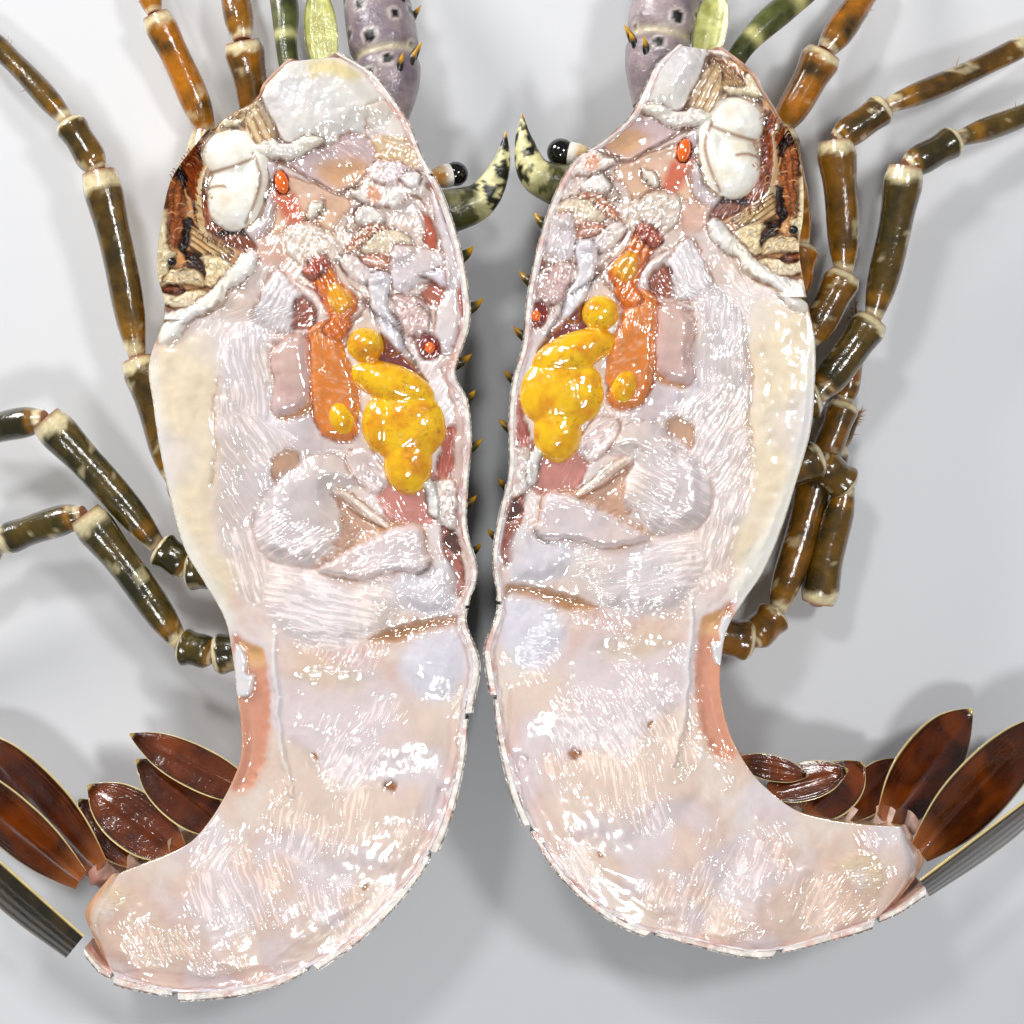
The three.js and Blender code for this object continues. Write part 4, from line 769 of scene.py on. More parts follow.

# %% [markdown]
# The wet flesh glints in short strokes along its fibres. Every point knows how far along and across the
# fibres it lies, and a noise stretched along them lifts the film of water. Where the strokes rise highest,
# the base colour is whitened as a painted highlight. The strokes come in clusters, close together in the
# muscles of the chest and far apart in the tail.

# %% Strokes on the wet flesh
def streaky_surface(name):
    material = wet_surface(name, roughness=0.3, coat=1.0, mottle=0.04, mottle_size=6, grain=0.025,
                           grain_size=4, subsurface=0.12, scale=0.0012, film=2.4)
    tree = material.node_tree
    link = tree.links.new
    surface = tree.nodes["Principled BSDF"]
    fibres = node(tree, "ShaderNodeAttribute", attribute_name=STROKES)
    parts = node(tree, "ShaderNodeSeparateXYZ")
    link(fibres.outputs["Vector"], parts.inputs["Vector"])
    stretched = node(tree, "ShaderNodeMapping")
    stretched.inputs["Scale"].default_value = (1 / 9.0, 1 / 0.85, 0)
    link(fibres.outputs["Vector"], stretched.inputs["Vector"])
    streaks = node(tree, "ShaderNodeTexNoise", Scale=1.0, Detail=1.5, Roughness=0.45, Distortion=0.15)
    link(stretched.outputs["Vector"], streaks.inputs["Vector"])
    where = node(tree, "ShaderNodeTexCoord")
    patches = node(tree, "ShaderNodeTexNoise", Scale=1000 / 15, Detail=2, Roughness=0.5)
    link(where.outputs["Object"], patches.inputs["Vector"])
    share = node(tree, "ShaderNodeMapRange")
    share.inputs["From Min"].default_value = 0.45
    share.inputs["From Max"].default_value = 0.6
    share.inputs["To Min"].default_value = -0.25
    share.inputs["To Max"].default_value = 1.5
    link(patches.outputs["Fac"], share.inputs["Value"])
    centred = node(tree, "ShaderNodeMath", operation="SUBTRACT")
    centred.inputs[1].default_value = 0.5
    link(streaks.outputs["Fac"], centred.inputs[0])
    dense = node(tree, "ShaderNodeMath", operation="MULTIPLY_ADD")
    dense.inputs[1].default_value = 1.5
    dense.inputs[2].default_value = -1.65
    link(parts.outputs["Z"], dense.inputs[0])
    summed = node(tree, "ShaderNodeMath", operation="ADD")
    link(dense.outputs[0], summed.inputs[0])
    link(share.outputs["Result"], summed.inputs[1])
    kept = node(tree, "ShaderNodeMath", operation="MAXIMUM")
    kept.inputs[1].default_value = 0.0
    link(summed.outputs[0], kept.inputs[0])
    clustered = node(tree, "ShaderNodeMath", operation="MULTIPLY")
    link(centred.outputs[0], clustered.inputs[0])
    link(kept.outputs[0], clustered.inputs[1])
    strength = node(tree, "ShaderNodeMath", operation="MULTIPLY")
    link(clustered.outputs[0], strength.inputs[0])
    link(parts.outputs["Z"], strength.inputs[1])
    bump = node(tree, "ShaderNodeBump", Strength=1.0, Distance=1.6 * MM)
    link(strength.outputs[0], bump.inputs["Height"])
    # Painted highlight: where the strokes rise highest the base colour is whitened; elsewhere it is dimmed a
    # touch.
    painted_glint_share = node(tree, "ShaderNodeMapRange")
    painted_glint_share.inputs["From Min"].default_value = 0.04
    painted_glint_share.inputs["From Max"].default_value = 0.13
    painted_glint_share.inputs["To Min"].default_value = 0.98
    painted_glint_share.inputs["To Max"].default_value = 1.28
    link(strength.outputs[0], painted_glint_share.inputs["Value"])
    lit = node(tree, "ShaderNodeVectorMath", operation="SCALE")
    link(surface.inputs["Base Color"].links[0].from_socket, lit.inputs[0])
    link(painted_glint_share.outputs["Result"], lit.inputs["Scale"])
    link(lit.outputs["Vector"], surface.inputs["Base Color"])
    grain = surface.inputs["Coat Normal"].links[0].from_node
    link(grain.outputs["Normal"], bump.inputs["Normal"])
    link(bump.outputs["Normal"], surface.inputs["Coat Normal"])
    return material


flesh_finish = streaky_surface("wet flesh")
for half in HALVES:
    faces = {}
    bm = start_mesh()
    bm.verts.layers.float_color.new(STROKES)
    rolled(bm, *FLESH_GRID, flesh_place(half, faces), flesh_colour(half, faces), lambda: faces[half.name][2])
    nodes = [f"{half.name}_{n}" for n in ("body_flesh", "tail_flesh", "breastplate")]
    piece(f"{half.name}_flesh", bm, flesh_finish, nodes, sharp=180)

# %% [markdown]
# A shell plate is a tube squashed flat and bent into a C. Going round it, the outside comes first, from the
# cut along the back to the lower edge, then the inside on the way back. Its cut rim is white, its inside is
# pink, and its outside is olive with pale spots.

# %% Shell plates
OUTSIDE = 0.62


RIM = 0.965


def plate_place(half, stations, end, thickness, bulge):
    def place(u, w):
        t = stations[0] + (stations[1] - stations[0]) * u
        turn = np.where(w <= OUTSIDE, w / OUTSIDE, np.clip((RIM - w) / (RIM - OUTSIDE), 0, 1))
        angle = turn * end(u)
        rise = bulge(half.skin(t, angle, 0.0), t, u, angle)
        near = half.skin(t, angle, rise)
        far = half.skin(t, angle, np.clip(rise, 0, 0.3 * rise) - thickness)
        inside = (ramp(w, OUTSIDE, OUTSIDE + 0.01) * np.clip((1 - w) / (1 - RIM), 0, 1))[:, None]
        made = near * (1 - inside) + far * inside
        rim = 1 - ramp(angle, 0, 5)
        made[:, 2] -= rim * (0.3 + 0.35 * lumpy(np.column_stack([t * 10, t, 0 * t]), 4.5, 2, 6.0))
        return made

    return place


def plate_colour(stations, end, outer):
    def colour(spots, u, w):
        t = stations[0] + (stations[1] - stations[0]) * u
        outside = ramp(OUTSIDE - w, 0, 0.012)
        shades = outer(spots, t, u, w / OUTSIDE * end(u))
        inside = mixed(tint("#ecd9cf"), tint("#d9a898"), np.clip(0.4 + 0.6 * lumpy(spots, 5, 2), 0, 1))
        shades = mixed(inside, shades, outside)
        rim = np.maximum(1 - ramp(w, 0.0, 0.01), ramp(w, RIM - 0.012, RIM))
        rosy = mixed(SHELL_WHITE, tint("#dcb3a8"), np.clip(lumpy(spots, 5, 3, 9.0) * 1.6, 0, 0.8))
        shades = mixed(shades, rosy, rim)
        return mixed(shades, tint("#33261a"), ramp(w, 0.986, 0.994) * 0.85)

    return colour


def to_shell_end(u):
    return np.full(len(u), SHELL_END)


def olive_shell(spots, t, u, angle):
    clouds = lumpy(spots, 11, 4, 2.0)
    shades = mixed(OLIVE, tint("#5d4a22"), np.clip(0.4 + clouds, 0, 1))
    shades = mixed(shades, DARK_OLIVE, np.clip(lumpy(spots, 5, 3, 9.0) * 1.4, 0, 0.8))
    pale = ramp(lumpy(spots, 3.2, 2, 12.0), 0.28, 0.45)
    shades = mixed(shades, tint("#c8b077"), pale * 0.75)
    lower = ramp(angle, 112, 146)
    return mixed(shades, tint("#c9a66b"), lower * np.clip(0.55 + lumpy(spots, 7, 3, 4.0), 0, 1))


shell_finish = wet_surface("olive shell", roughness=0.33, coat=0.6, mottle=0.35, mottle_size=2.5, grain=0.25,
                           grain_size=1.4)
print("shell outside takes", OUTSIDE, "of the way round")

# %% [markdown]
# The carapace covers head and chest. A groove runs across it behind the head, and its surface is full of
# small grains between the spines. The spines lean forward in rows, dark at the root and pale at the tip.

# %% Carapace
GROOVE = 9.3
SPINE_ROWS = [(10, 4.6), (27, 4.2), (45, 3.6), (63, 3.0), (120, 2.0)]


def carapace_bulge(spots, t, u, angle):
    groove = np.exp(-((t - GROOVE - 0.004 * angle) / 0.28) ** 2)
    grains = np.clip(lumpy(spots, 3.4, 2, 7.0), 0, 1)
    edge = ramp(angle, 0, 10)
    rear = np.exp(-((t - 14.75) / 0.18) ** 2)
    return edge * (-1.1 * groove + 0.75 * grains - 0.45) - 0.3 * rear


def tube(bm, path, radii, shade, rows=40, around=20, flatten=1.0):
    line = curve_through(path)
    size = curve_through(radii)
    last = len(path) - 1

    def place(u, w):
        t = u * last
        middle = line(t)
        forward = line(np.minimum(t + 0.02, last)) - line(np.maximum(t - 0.02, 0))
        forward /= np.linalg.norm(forward, axis=1)[:, None]
        level = np.column_stack([-forward[:, 1], forward[:, 0], np.zeros(len(t))])
        level /= np.linalg.norm(level, axis=1)[:, None]
        upward = np.cross(forward, level)
        angle = 2 * np.pi * w
        r = size(u * (len(radii) - 1))[:, 0][:, None]
        return middle + r * (level * np.cos(angle)[:, None] + flatten * upward * np.sin(angle)[:, None])

    return rolled(bm, rows, around, place, shade)


def spine(bm, root, tip, radius, root_shade, tip_shade, bend=(0, 0, 0)):
    root, tip = np.asarray(root, float), np.asarray(tip, float)
    middle = (root + tip) / 2 + np.asarray(bend, float)

    def shade(spots, u, w):
        return mixed(root_shade, tip_shade, ramp(u, 0.35, 0.75))

    return tube(bm, [root, middle, tip], [radius, radius * 0.62, 0.06], shade, rows=8, around=9)


def carapace_spines(bm, half):
    for row, (angle, length) in enumerate(SPINE_ROWS):
        for station in np.arange(6.4 + (row % 2) * 0.6, 14.6, 1.2):
            root = half.skin([station], angle, -0.9)[0]
            outward = half.skin([station], angle, 2.0)[0] - half.skin([station], angle, 0.0)[0]
            forward = half.skin([station - 0.5], angle)[0] - half.skin([station + 0.5], angle)[0]
            outward /= np.linalg.norm(outward)
            forward /= np.linalg.norm(forward)
            size = length * (1.15 - 0.05 * (station - 6))
            tip = root + outward * (size * 0.8 + 0.7) + forward * size * 0.75
            if 0.4 < tip[2] < CUT - 0.5:
                spine(bm, root, tip, 0.36 * size, OLIVE, tint("#d9a23a"), outward * 0.1 * size)
    return bm


HORNS = {"left": [(-19, 76, 28), (-8.5, 79.5, 28), (-3, 88, 28.5), (-1.5, 97, 29)],
         "right": [(17, 82, 28), (6.5, 86, 28), (3.2, 94, 28.5), (2.6, 101.5, 29)]}


def horn_shade(spots, u, w):
    marble = ramp(lumpy(spots, 4.5, 3, 3.0), -0.12, 0.16)
    shades = mixed(tint("#12140a"), tint("#ece5b4"), marble)
    shades = mixed(shades, tint("#4b4a20"), (1 - ramp(u, 0.2, 0.45)) * 0.8)
    return mixed(shades, tint("#d8a722"), ramp(u, 0.93, 0.98))


for half in HALVES:
    ends = (4.6, 15.05)
    bm = carapace_spines(start_mesh(), half)
    tube(bm, HORNS[half.name], [6, 4.6, 2.6, 0.15], horn_shade, rows=60, around=28)
    rolled(bm, 200, 180, plate_place(half, ends, to_shell_end, SHELL, carapace_bulge),
           plate_colour(ends, to_shell_end, olive_shell))
    piece(f"{half.name}_carapace", bm, shell_finish, [f"{half.name}_carapace"])

# %% [markdown]
# In front of the carapace a short plate carries the feelers. It wraps nearly all round the head.

# %% Head plate
def head_bulge(spots, t, u, angle):
    return ramp(angle, 0, 10) * (0.5 * lumpy(spots, 5, 3, 7.0) - 0.3)


def head_shell(spots, t, u, angle):
    shades = olive_shell(spots, t, u, np.minimum(angle, 100))
    return mixed(shades, tint("#d9cfa8"), ramp(angle, 110, 170) * 0.9)


def to_belly(u):
    return np.full(len(u), 176.0)


for half in HALVES:
    ends = (0.1, 4.5)
    bm = rolled(start_mesh(), 60, 150, plate_place(half, ends, to_belly, SHELL, head_bulge),
                plate_colour(ends, to_belly, head_shell))
    piece(f"{half.name}_head_plate", bm, shell_finish, [f"{half.name}_head_plate"])

# %% [markdown]
# Each tail ring slides under the one in front of it when the tail curls. A ring has a smooth back with a
# faint groove and ends below in a side plate drawn out to a point.

# %% Tail rings
def side_plate_end(u):
    return 140 + 22 * u * u


def ring_bulge(spots, t, u, angle):
    side = np.clip((angle - 115) / 33, 0, 1.4)
    flare = 1.1 * u + 4.5 * np.sin(np.pi * (0.1 + 0.8 * u)) * side
    groove = np.exp(-((u - 0.45) / 0.06) ** 2) * ramp(angle, 12, 30) * (1 - side)
    return flare - 0.55 * groove + 0.12 * lumpy(spots, 3, 2, 5.0) * ramp(angle, 0, 8)


def ring_shell(spots, t, u, angle):
    shades = olive_shell(spots, t, u, np.minimum(angle, 110))
    rear = ramp(u, 0.8, 0.97)
    shades = mixed(shades, tint("#3a1a0c"), rear * 0.7)
    band = np.exp(-((u - 0.88) / 0.04) ** 2) * ramp(angle, 6, 16)
    shades = mixed(shades, tint("#d8c48e"), band * 0.7)
    return mixed(shades, tint("#6a2e16"), ramp(angle, 120, 146) * 0.6)


for half in HALVES:
    for number, ends in enumerate(PLATE_ENDS, 1):
        bm = rolled(start_mesh(), 50, 150, plate_place(half, ends, side_plate_end, SHELL, ring_bulge),
                    plate_colour(ends, side_plate_end, ring_shell))
        name = f"{half.name}_tail_ring_{number}"
        piece(name, bm, shell_finish, [name])

# %% [markdown]
# The roe lies in the chest as a few plump lobes pressed against each other. Round lumps are joined by a
# voxel remesh, which melts them together with a crease between, and smoothing makes them full and soft.

# %% Roe and jaws
ROE = [  # centre, half sizes, turn
    ((-36.8, 41.8, 36.2), (4.8, 4.6, 4.5), 0), ((-30, 32, 35.8), (11.5, 5.2, 4.9), -20),
    ((-26.5, 21.5, 35.3), (10.5, 10.5, 5.4), 10), ((-26, 12.5, 35.2), (6.6, 8.5, 5.2), 0),
    ((-33, 22, 35.4), (5, 8, 5), 0), ((-42.8, 23.4, 36), (3.6, 5.2, 4.4), 18)]
JAW = [((-70, 89.5, 35), (8, 6.8, 4.6), 0), ((-69.5, 79, 35), (7.6, 8.6, 4.4), -11),
       ((-64.5, 83, 35), (3.6, 12, 4.2), -7)]


def lobes(half, forms, detail=4):
    bm = start_mesh()
    for (x, y, z), size, turn in forms:
        cx, cy = half.from_left(x, y)
        spin = Matrix.Rotation(math.radians(turn * -half.side), 4, "Z")
        place = Matrix.Translation(Vector((cx + CENTRE[0], cy + CENTRE[1], z)) * MM)
        shape = Matrix.Diagonal((size[0] * MM, size[1] * MM, size[2] * MM, 1))
        bmesh.ops.create_icosphere(bm, subdivisions=detail, radius=1, matrix=place @ spin @ shape)
    return bm


def melted(name, bm, voxel, passes, shade, ripple=0.0):
    rough = bpy.data.meshes.new(name + "_rough")
    bm.to_mesh(rough)
    bm.free()
    obj = bpy.data.objects.new(name + "_rough", rough)
    bpy.context.scene.collection.objects.link(obj)
    remesh = obj.modifiers.new("remesh", "REMESH")
    remesh.mode = "VOXEL"
    remesh.voxel_size = voxel * MM
    smooth = obj.modifiers.new("smooth", "SMOOTH")
    smooth.iterations = passes
    smooth.factor = 0.5
    shaped = bpy.data.meshes.new_from_object(obj.evaluated_get(bpy.context.evaluated_depsgraph_get()))
    bpy.data.objects.remove(obj)
    out = start_mesh()
    out.from_mesh(shaped)
    bpy.data.meshes.remove(shaped)
    paint = out.verts.layers.float_color[PAINT]
    out.normal_update()
    spots = np.array([v.co for v in out.verts]) / MM - CENTRE
    waves = lumpy(spots, 2.6, 3, 4.0)
    for vert, wave in zip(out.verts, waves):
        vert.co += vert.normal * wave * ripple * MM
    for vert, colour in zip(out.verts, shade(spots)):
        vert[paint] = colour
    return out


def roe_shade(spots):
    shades = mixed(tint("#f9c41a"), tint("#e09a12"), np.clip(0.3 + 1.1 * lumpy(spots, 5, 3, 1.0), 0, 1))
    specks = ramp(lumpy(spots, 0.9, 2, 6.0), 0.3, 0.45) * ramp(lumpy(spots, 7, 2, 3.0), -0.1, 0.2)
    return mixed(shades, tint("#8c5a10"), specks * 0.4)


# Dark lines painted where the jaw's lobes meet: painted shade in the creases between them.
JAW_CREASE_SHADES = [[(-77.6, 84.8), (-73, 85.4), (-68.5, 86.6), (-64, 88.6)],
               [(-77.4, 80.6), (-73.5, 81.4), (-70.5, 81)],
               [(-64.6, 89.6), (-62.8, 84), (-64, 78), (-66.8, 72)]]


def jaw_shade(half, spots):
    x, y = half.to_left(spots)
    shades = mixed(tint("#fdf9f1"), tint("#e6d9c4"), np.clip(0.15 + 0.9 * lumpy(spots, 6, 3, 1.0), 0, 1))
    # Painted shade along the creases between the lobes.
    for points in JAW_CREASE_SHADES:
        shades = mixed(shades, tint("#9a7556"), stroke_share(x, y, points, 0.45) * 0.9)
    return shades


roe_finish = wet_surface("roe", roughness=0.22, coat=0.9, mottle=0.08, mottle_size=2, grain=0.03,
                         grain_size=1.6, subsurface=0.1, film=2.2)
jaw_finish = wet_surface("jaw", roughness=0.3, coat=0.6, mottle=0.06, mottle_size=4, grain=0.05,
                         grain_size=2.5, subsurface=0.1, film=1.9)
for half in HALVES:
    roe = melted("roe", lobes(half, ROE), 0.32, 6, roe_shade, 0.12)
    piece(f"{half.name}_roe", roe, roe_finish, [f"{half.name}_roe"], sharp=180)
    jaw = melted("jaw", lobes(half, JAW), 0.32, 5, lambda spots: jaw_shade(half, spots), 0.12)
    piece(f"{half.name}_jaw", jaw, jaw_finish, [f"{half.name}_jaw"], sharp=180)

# %% [markdown]
# A walking leg is a chain of hard tubes joined by soft red-brown skin. Each link is narrow in its socket,
# full along its length and flared at its far end, where the next link starts. The links are dark olive with
# cream ends and spots, and the last one is a claw set with stiff golden hairs.

# %% Legs
LEGS = {
    "left": [
        [(-78, 47, 21), (-85, 51, 19), (-87.5, 66, 12), (-67, 97, 7), (-71, 124, 14), (-77, 152, 8),
         (-80, 173, 0.7)],
        [(-80, 30, 21), (-87, 33, 19), (-91, 44, 9), (-81, 101, 8), (-94, 131, 14), (-101, 150, 9),
         (-106, 168, 0.7)],
        [(-78, 6, 21), (-88, 8, 18), (-98, 40, 17), (-107.5, 88.5, 20), (-115.5, 101.5, 19), (-139, 126, 11),
         (-154, 143, 0.7)],
        [(-74, -16, 21), (-84, -15, 19), (-92, -9.5, 18), (-120, 24, 25), (-142, 20, 18), (-171, -2, 8),
         (-182, -21, 0.7)],
        [(-64, -36, 22), (-77, -37, 21), (-86, -35, 19), (-110, -0.5, 25), (-133, -7.5, 18), (-156, -34, 8),
         (-163, -54, 0.7)]],
    "right": [
        [(66, 52, 21), (73, 56, 19), (76, 69, 14), (70, 100, 15), (81.5, 120, 18), (97.5, 144, 10),
         (108.5, 163, 0.7)],
        [(68, 41, 21), (77, 44, 19), (87, 62, 17), (84, 96.5, 20), (97, 105.5, 19), (138, 125, 9),
         (158, 132, 0.7)],
        [(68, 27, 21), (79, 30, 20), (94, 50, 19), (101.5, 89, 24), (115, 96.5, 21), (151, 112, 9),
         (170, 113, 0.7)],
        [(66, 9, 21), (80, 14, 18), (88, 7, 15), (81, -24, 11), (82, -14, 3.6), (88, 18, 3.4), (95, 28, 0.7)],
        [(50, -31, 22), (62, -33.5, 20), (69, -27, 16), (82, 12, 8), (89, 29, 6), (92, 46, 4),
         (93, 57, 0.7)]]}
LEG_RADII = [5, 4.6, 4.2, 4.4, 3.6, 2.5, 0.7]
FRONT_LEG_RADII = [5, 4.4, 4.2, 4.2, 4.6, 3, 0.7]
LINK_PROFILE = [0.5, 0.72, 0.9, 0.98, 1.0, 1.0, 1.0, 1.02, 1.1, 1.16, 0.98]
CLAW_PROFILE = [0.6, 0.95, 1.0, 0.94, 0.8, 0.62, 0.42, 0.2, 0.05]


def leg_shade(gold, link):
    def shade(spots, u, w):
        cloud = lumpy(spots, 7, 3, 3.0)
        body = mixed(tint("#2c2a12"), tint("#5a4a1c"), np.clip(0.35 + 1.1 * cloud, 0, 1))
        body = mixed(body, tint("#b8742c"), np.clip(gold * (0.9 + cloud), 0, 1))
        lower = 0.5 - 0.5 * np.sin(2 * np.pi * w)
        body = mixed(body, tint("#c9a866"), ramp(lower + 0.4 * cloud, 0.8, 1.05) * 0.8)
        uneven = 0.05 * lumpy(spots, 4, 3, 6.0)
        ends = np.maximum(1 - ramp(u + uneven, 0.04, 0.09), ramp(u + uneven, 0.88, 0.93))
        ends = np.maximum(ends, ramp(lumpy(spots, 5, 2, 21.0), 0.5, 0.6) * 0.5)
        shades = mixed(body, tint("#a8742c"), np.exp(-((u - 0.14) / 0.04) ** 2) * 0.6)
        shades = mixed(shades, tint("#efe2bd"), ends * (0.9 if link < 5 else 0.3))
        joint = np.maximum(1 - ramp(u, 0.0, 0.045), ramp(u, 0.965, 1.0))
        return mixed(shades, tint("#8a4022"), joint * 0.8)

    return shade


def hair(bm, root, tip, radius, shade):
    def colour(spots, u, w):
        return mixed(shade, shade * 1.5, u * 0.5)

    return tube(bm, [root, tip], [radius, radius * 0.2], colour, rows=2, around=4)


def leg(bm, joints, radii, gold):
    corners = np.asarray(joints, float)
    chance = random.Random(len(joints) + int(corners[0][1]))
    for link in range(6):
        start, end = corners[link], corners[link + 1]
        profile = CLAW_PROFILE if link == 5 else LINK_PROFILE
        sizes = np.linspace(radii[link], radii[link + 1], len(profile)) * profile
        side = np.cross(end - start, (0, 0, 1))
        side /= max(np.linalg.norm(side), 1e-6)
        bow = (start + end) / 2 + side * 0.015 * np.linalg.norm(end - start)
        tube(bm, [start, bow, end], sizes, leg_shade(gold, link), rows=36, around=20)
        if link in (4, 5):
            for _ in range(34 if link == 5 else 10):
                share = chance.uniform(0.3, 0.95)
                place = start + (end - start) * share
                out = np.array([chance.gauss(0, 1), chance.gauss(0, 1), chance.gauss(0, 0.7)])
                out /= np.linalg.norm(out)
                size = sizes[int(share * (len(sizes) - 1))]
                tip = place + out * (size + 1.3) + (end - start) * 0.05
                tip[2] = max(tip[2], 0.1)
                hair(bm, place + out * size * 0.8, tip, 0.13, tint("#a87b3a"))
    return bm


leg_finish = wet_surface("leg", roughness=0.25, coat=1.0, mottle=0.25, mottle_size=2, grain=0.12,
                         grain_size=1.5)
GOLD = {"left": [0.45, 0.9, 0.1, 0.0, 0.0], "right": [0.7, 0.25, 0.05, 0.1, 0.3]}
for half in HALVES:
    for number, joints in enumerate(LEGS[half.name], 1):
        radii = FRONT_LEG_RADII if number == 1 else LEG_RADII
        bm = leg(start_mesh(), joints, radii, GOLD[half.name][number - 1])
        piece(f"{half.name}_leg_{number}", bm, leg_finish, [f"{half.name}_leg_{number}"])

# %% [markdown]
# The tail fan and the swimmerets are thin leaves. A rolled grid pressed flat makes one: its outline follows a
# few widths, fine ribs run along it, and a pale rim closes it. Real ones end in a soft fringe.

# %% Tail fan and swimmerets
LEAF_OUTLINE = [0.4, 0.66, 0.86, 0.97, 1.0, 0.98, 0.9, 0.74, 0.45, 0.05]


def leaf(bm, root, tip, across, width, thickness, shade, cup=0.0, rows=90, around=90):
    root, tip = np.asarray(root, float), np.asarray(tip, float)
    ahead = tip - root
    length = np.linalg.norm(ahead)
    ahead /= length
    wide = np.asarray(across, float)
    wide -= ahead * wide.dot(ahead)
    wide /= np.linalg.norm(wide)
    up = np.cross(ahead, wide)
    up *= 1 if up[2] >= 0 else -1
    outline = curve_through(LEAF_OUTLINE)

    def place(u, w):
        angle = 2 * np.pi * w
        breadth = width / 2 * outline(u * (len(LEAF_OUTLINE) - 1))[:, 0]
        side = np.cos(angle)
        ribs = 0.06 * np.sin(side * 46 + 3 * u) * ramp(1 - np.abs(side), 0, 0.3)
        thick = np.sin(angle) * thickness / 2 * (0.35 + 0.65 * np.sqrt(np.clip(1 - side**2, 0, 1)))
        keel = 0.5 * np.exp(-(side / 0.13) ** 2) * (1 - u)
        lift = thick + np.sign(np.sin(angle)) * ribs + keel * (np.sin(angle) > 0) + cup * side**2
        spots = (root + ahead * (u * length)[:, None] + wide * (breadth * side)[:, None] + up * lift[:, None])
        spots[:, 2] = np.clip(spots[:, 2] + 0.4 * lumpy(spots, 9, 2, 2.0) * u, 0.05, 40)
        return spots

    def colour(spots, u, w):
        return shade(spots, u, np.cos(2 * np.pi * w))

    return rolled(bm, rows, around, place, colour)


def fin_shade(spots, u, side):
    shades = mixed(tint("#451d0a"), tint("#672f12"), np.clip(0.4 + lumpy(spots, 9, 3, 5.0), 0, 1))
    ribs = 0.5 + 0.5 * np.sin(side * 46 + 3 * u)
    shades = mixed(shades, tint("#28140a"), ribs * 0.14)
    shades = mixed(shades, tint("#8a4219"), ramp(lumpy(spots, 12, 2, 9.0), 0.0, 0.5) * 0.5)
    edge = np.maximum(ramp(np.abs(side), 0.93, 0.97), ramp(u, 0.96, 0.985))
    dark_border = np.maximum(ramp(np.abs(side), 0.82, 0.9), ramp(u, 0.88, 0.94))
    shades = mixed(shades, tint("#1f0f08"), dark_border * 0.6)
    shades = mixed(shades, tint("#e3cf9c"), edge)
    root = 1 - ramp(u, 0.02, 0.2)
    return mixed(shades, tint("#a8653d"), root * 0.7)


fin_finish = wet_surface("tail fan", roughness=0.22, coat=1.0, mottle=0.15, mottle_size=3, grain=0.08,
                         grain_size=1.2, subsurface=0.05)
FINS = {
    "left": {
        "uropod_inner": ((-109, -93, 31), (-150, -62, 24), (0.62, 0.6, 0.5), 19),
        "uropod_outer": ((-106, -92, 23), (-142, -58, 12), (0.62, 0.6, 0.5), 21),
        "swimmeret_1": ((-66, -73, 27), (-98, -57, 26), (0.3, 0.9, -0.3), 11),
        "swimmeret_2": ((-74, -82, 25), (-97, -64, 23), (0.5, 0.8, -0.3), 13),
        "swimmeret_3": ((-86, -88, 24), (-110, -71, 21), (0.5, 0.8, -0.3), 15),
        "swimmeret_4": ((-97, -91, 22), (-114, -76, 13), (0.5, 0.8, -0.3), 11)},
    "right": {
        "uropod_inner": ((103, -86, 31), (139, -52, 24), (-0.66, 0.62, 0.42), 20),
        "uropod_outer": ((96, -80, 23), (121, -52, 12), (-0.66, 0.62, 0.42), 21),
        "swimmeret_1": ((58, -64, 27), (76, -68, 25), (-0.3, 0.9, -0.3), 7),
        "swimmeret_2": ((66, -72, 25), (87, -67, 21), (-0.3, 0.9, -0.3), 10),
        "swimmeret_3": ((76, -78, 24), (92, -66, 16), (-0.5, 0.8, -0.3), 13),
        "swimmeret_4": ((86, -79, 22), (103, -66, 9), (-0.5, 0.8, -0.3), 11)}}
for half in HALVES:
    for name, (root, tip, across, width) in FINS[half.name].items():
        thickness = 2.0 if name.startswith("uropod") else 1.1
        bm = leaf(start_mesh(), root, tip, across, width, thickness, fin_shade, cup=0.8)
        piece(f"{half.name}_{name}", bm, fin_finish, [f"{half.name}_{name}"])

# %% [markdown]
# The middle plate of the tail was cut in two with the rest, so each half keeps half of it, hanging down from
# the cut face. It is hard near its root and soft towards its end.

# %% Telson
TELSONS = {  # root, tip and lean
    "left": ((-107, -106, 37.5), (-143, -75, 35), 0.95),
    "right": ((102, -92, 37.5), (139, -65, 35), 0.7)}
TELSON_DEPTH = [12, 13.2, 14.4, 15, 15, 13.5, 9, 5]


def telson(bm, half):
    root, tip, tilt = TELSONS[half.name]
    root, tip = np.asarray(root, float), np.asarray(tip, float)
    ahead = (tip - root) / np.linalg.norm(tip - root)
    outward = np.array([ahead[1] * half.side, -ahead[0] * half.side, 0])
    outward /= np.linalg.norm(outward)
    down = np.array([0, 0, -math.cos(tilt)]) + outward * math.sin(tilt)
    normal = np.cross(ahead, down)
    depth = curve_through(TELSON_DEPTH)

    def place(u, w):
        angle = 2 * np.pi * w
        side = 0.5 - 0.5 * np.cos(angle)
        thick = np.sin(angle) * 1.0 * (1 - 0.4 * side)
        ribs = 0.05 * np.sin(side * 30) * np.sign(np.sin(angle))
        return (root + (tip - root) * u[:, None] + down * (side * depth(u * 7)[:, 0])[:, None]
                + normal * (thick + ribs)[:, None])

    def colour(spots, u, w):
        shades = mixed(tint("#2a2413"), tint("#4a3a1e"), np.clip(0.4 + lumpy(spots, 7, 3, 2.0), 0, 1))
        shades = mixed(shades, tint("#4a2410"), ramp(u, 0.5, 0.8))
        side = 0.5 - 0.5 * np.cos(2 * np.pi * w)
        edge = np.maximum(ramp(u, 0.95, 0.99), np.maximum(ramp(side, 0.95, 0.99), 1 - ramp(side, 0.01, 0.04)))
        return mixed(shades, tint("#e3cf9c"), edge)

    return rolled(bm, 90, 60, place, colour)


for half in HALVES:
    piece(f"{half.name}_telson", telson(start_mesh(), half), fin_finish, [f"{half.name}_telson"])

# %% [markdown]
# The root of the long feeler is three thick links with spines and round black spots. Beyond it the feeler is
# a stiff whip of hundreds of short rings that lies down on the table in a wide curve.

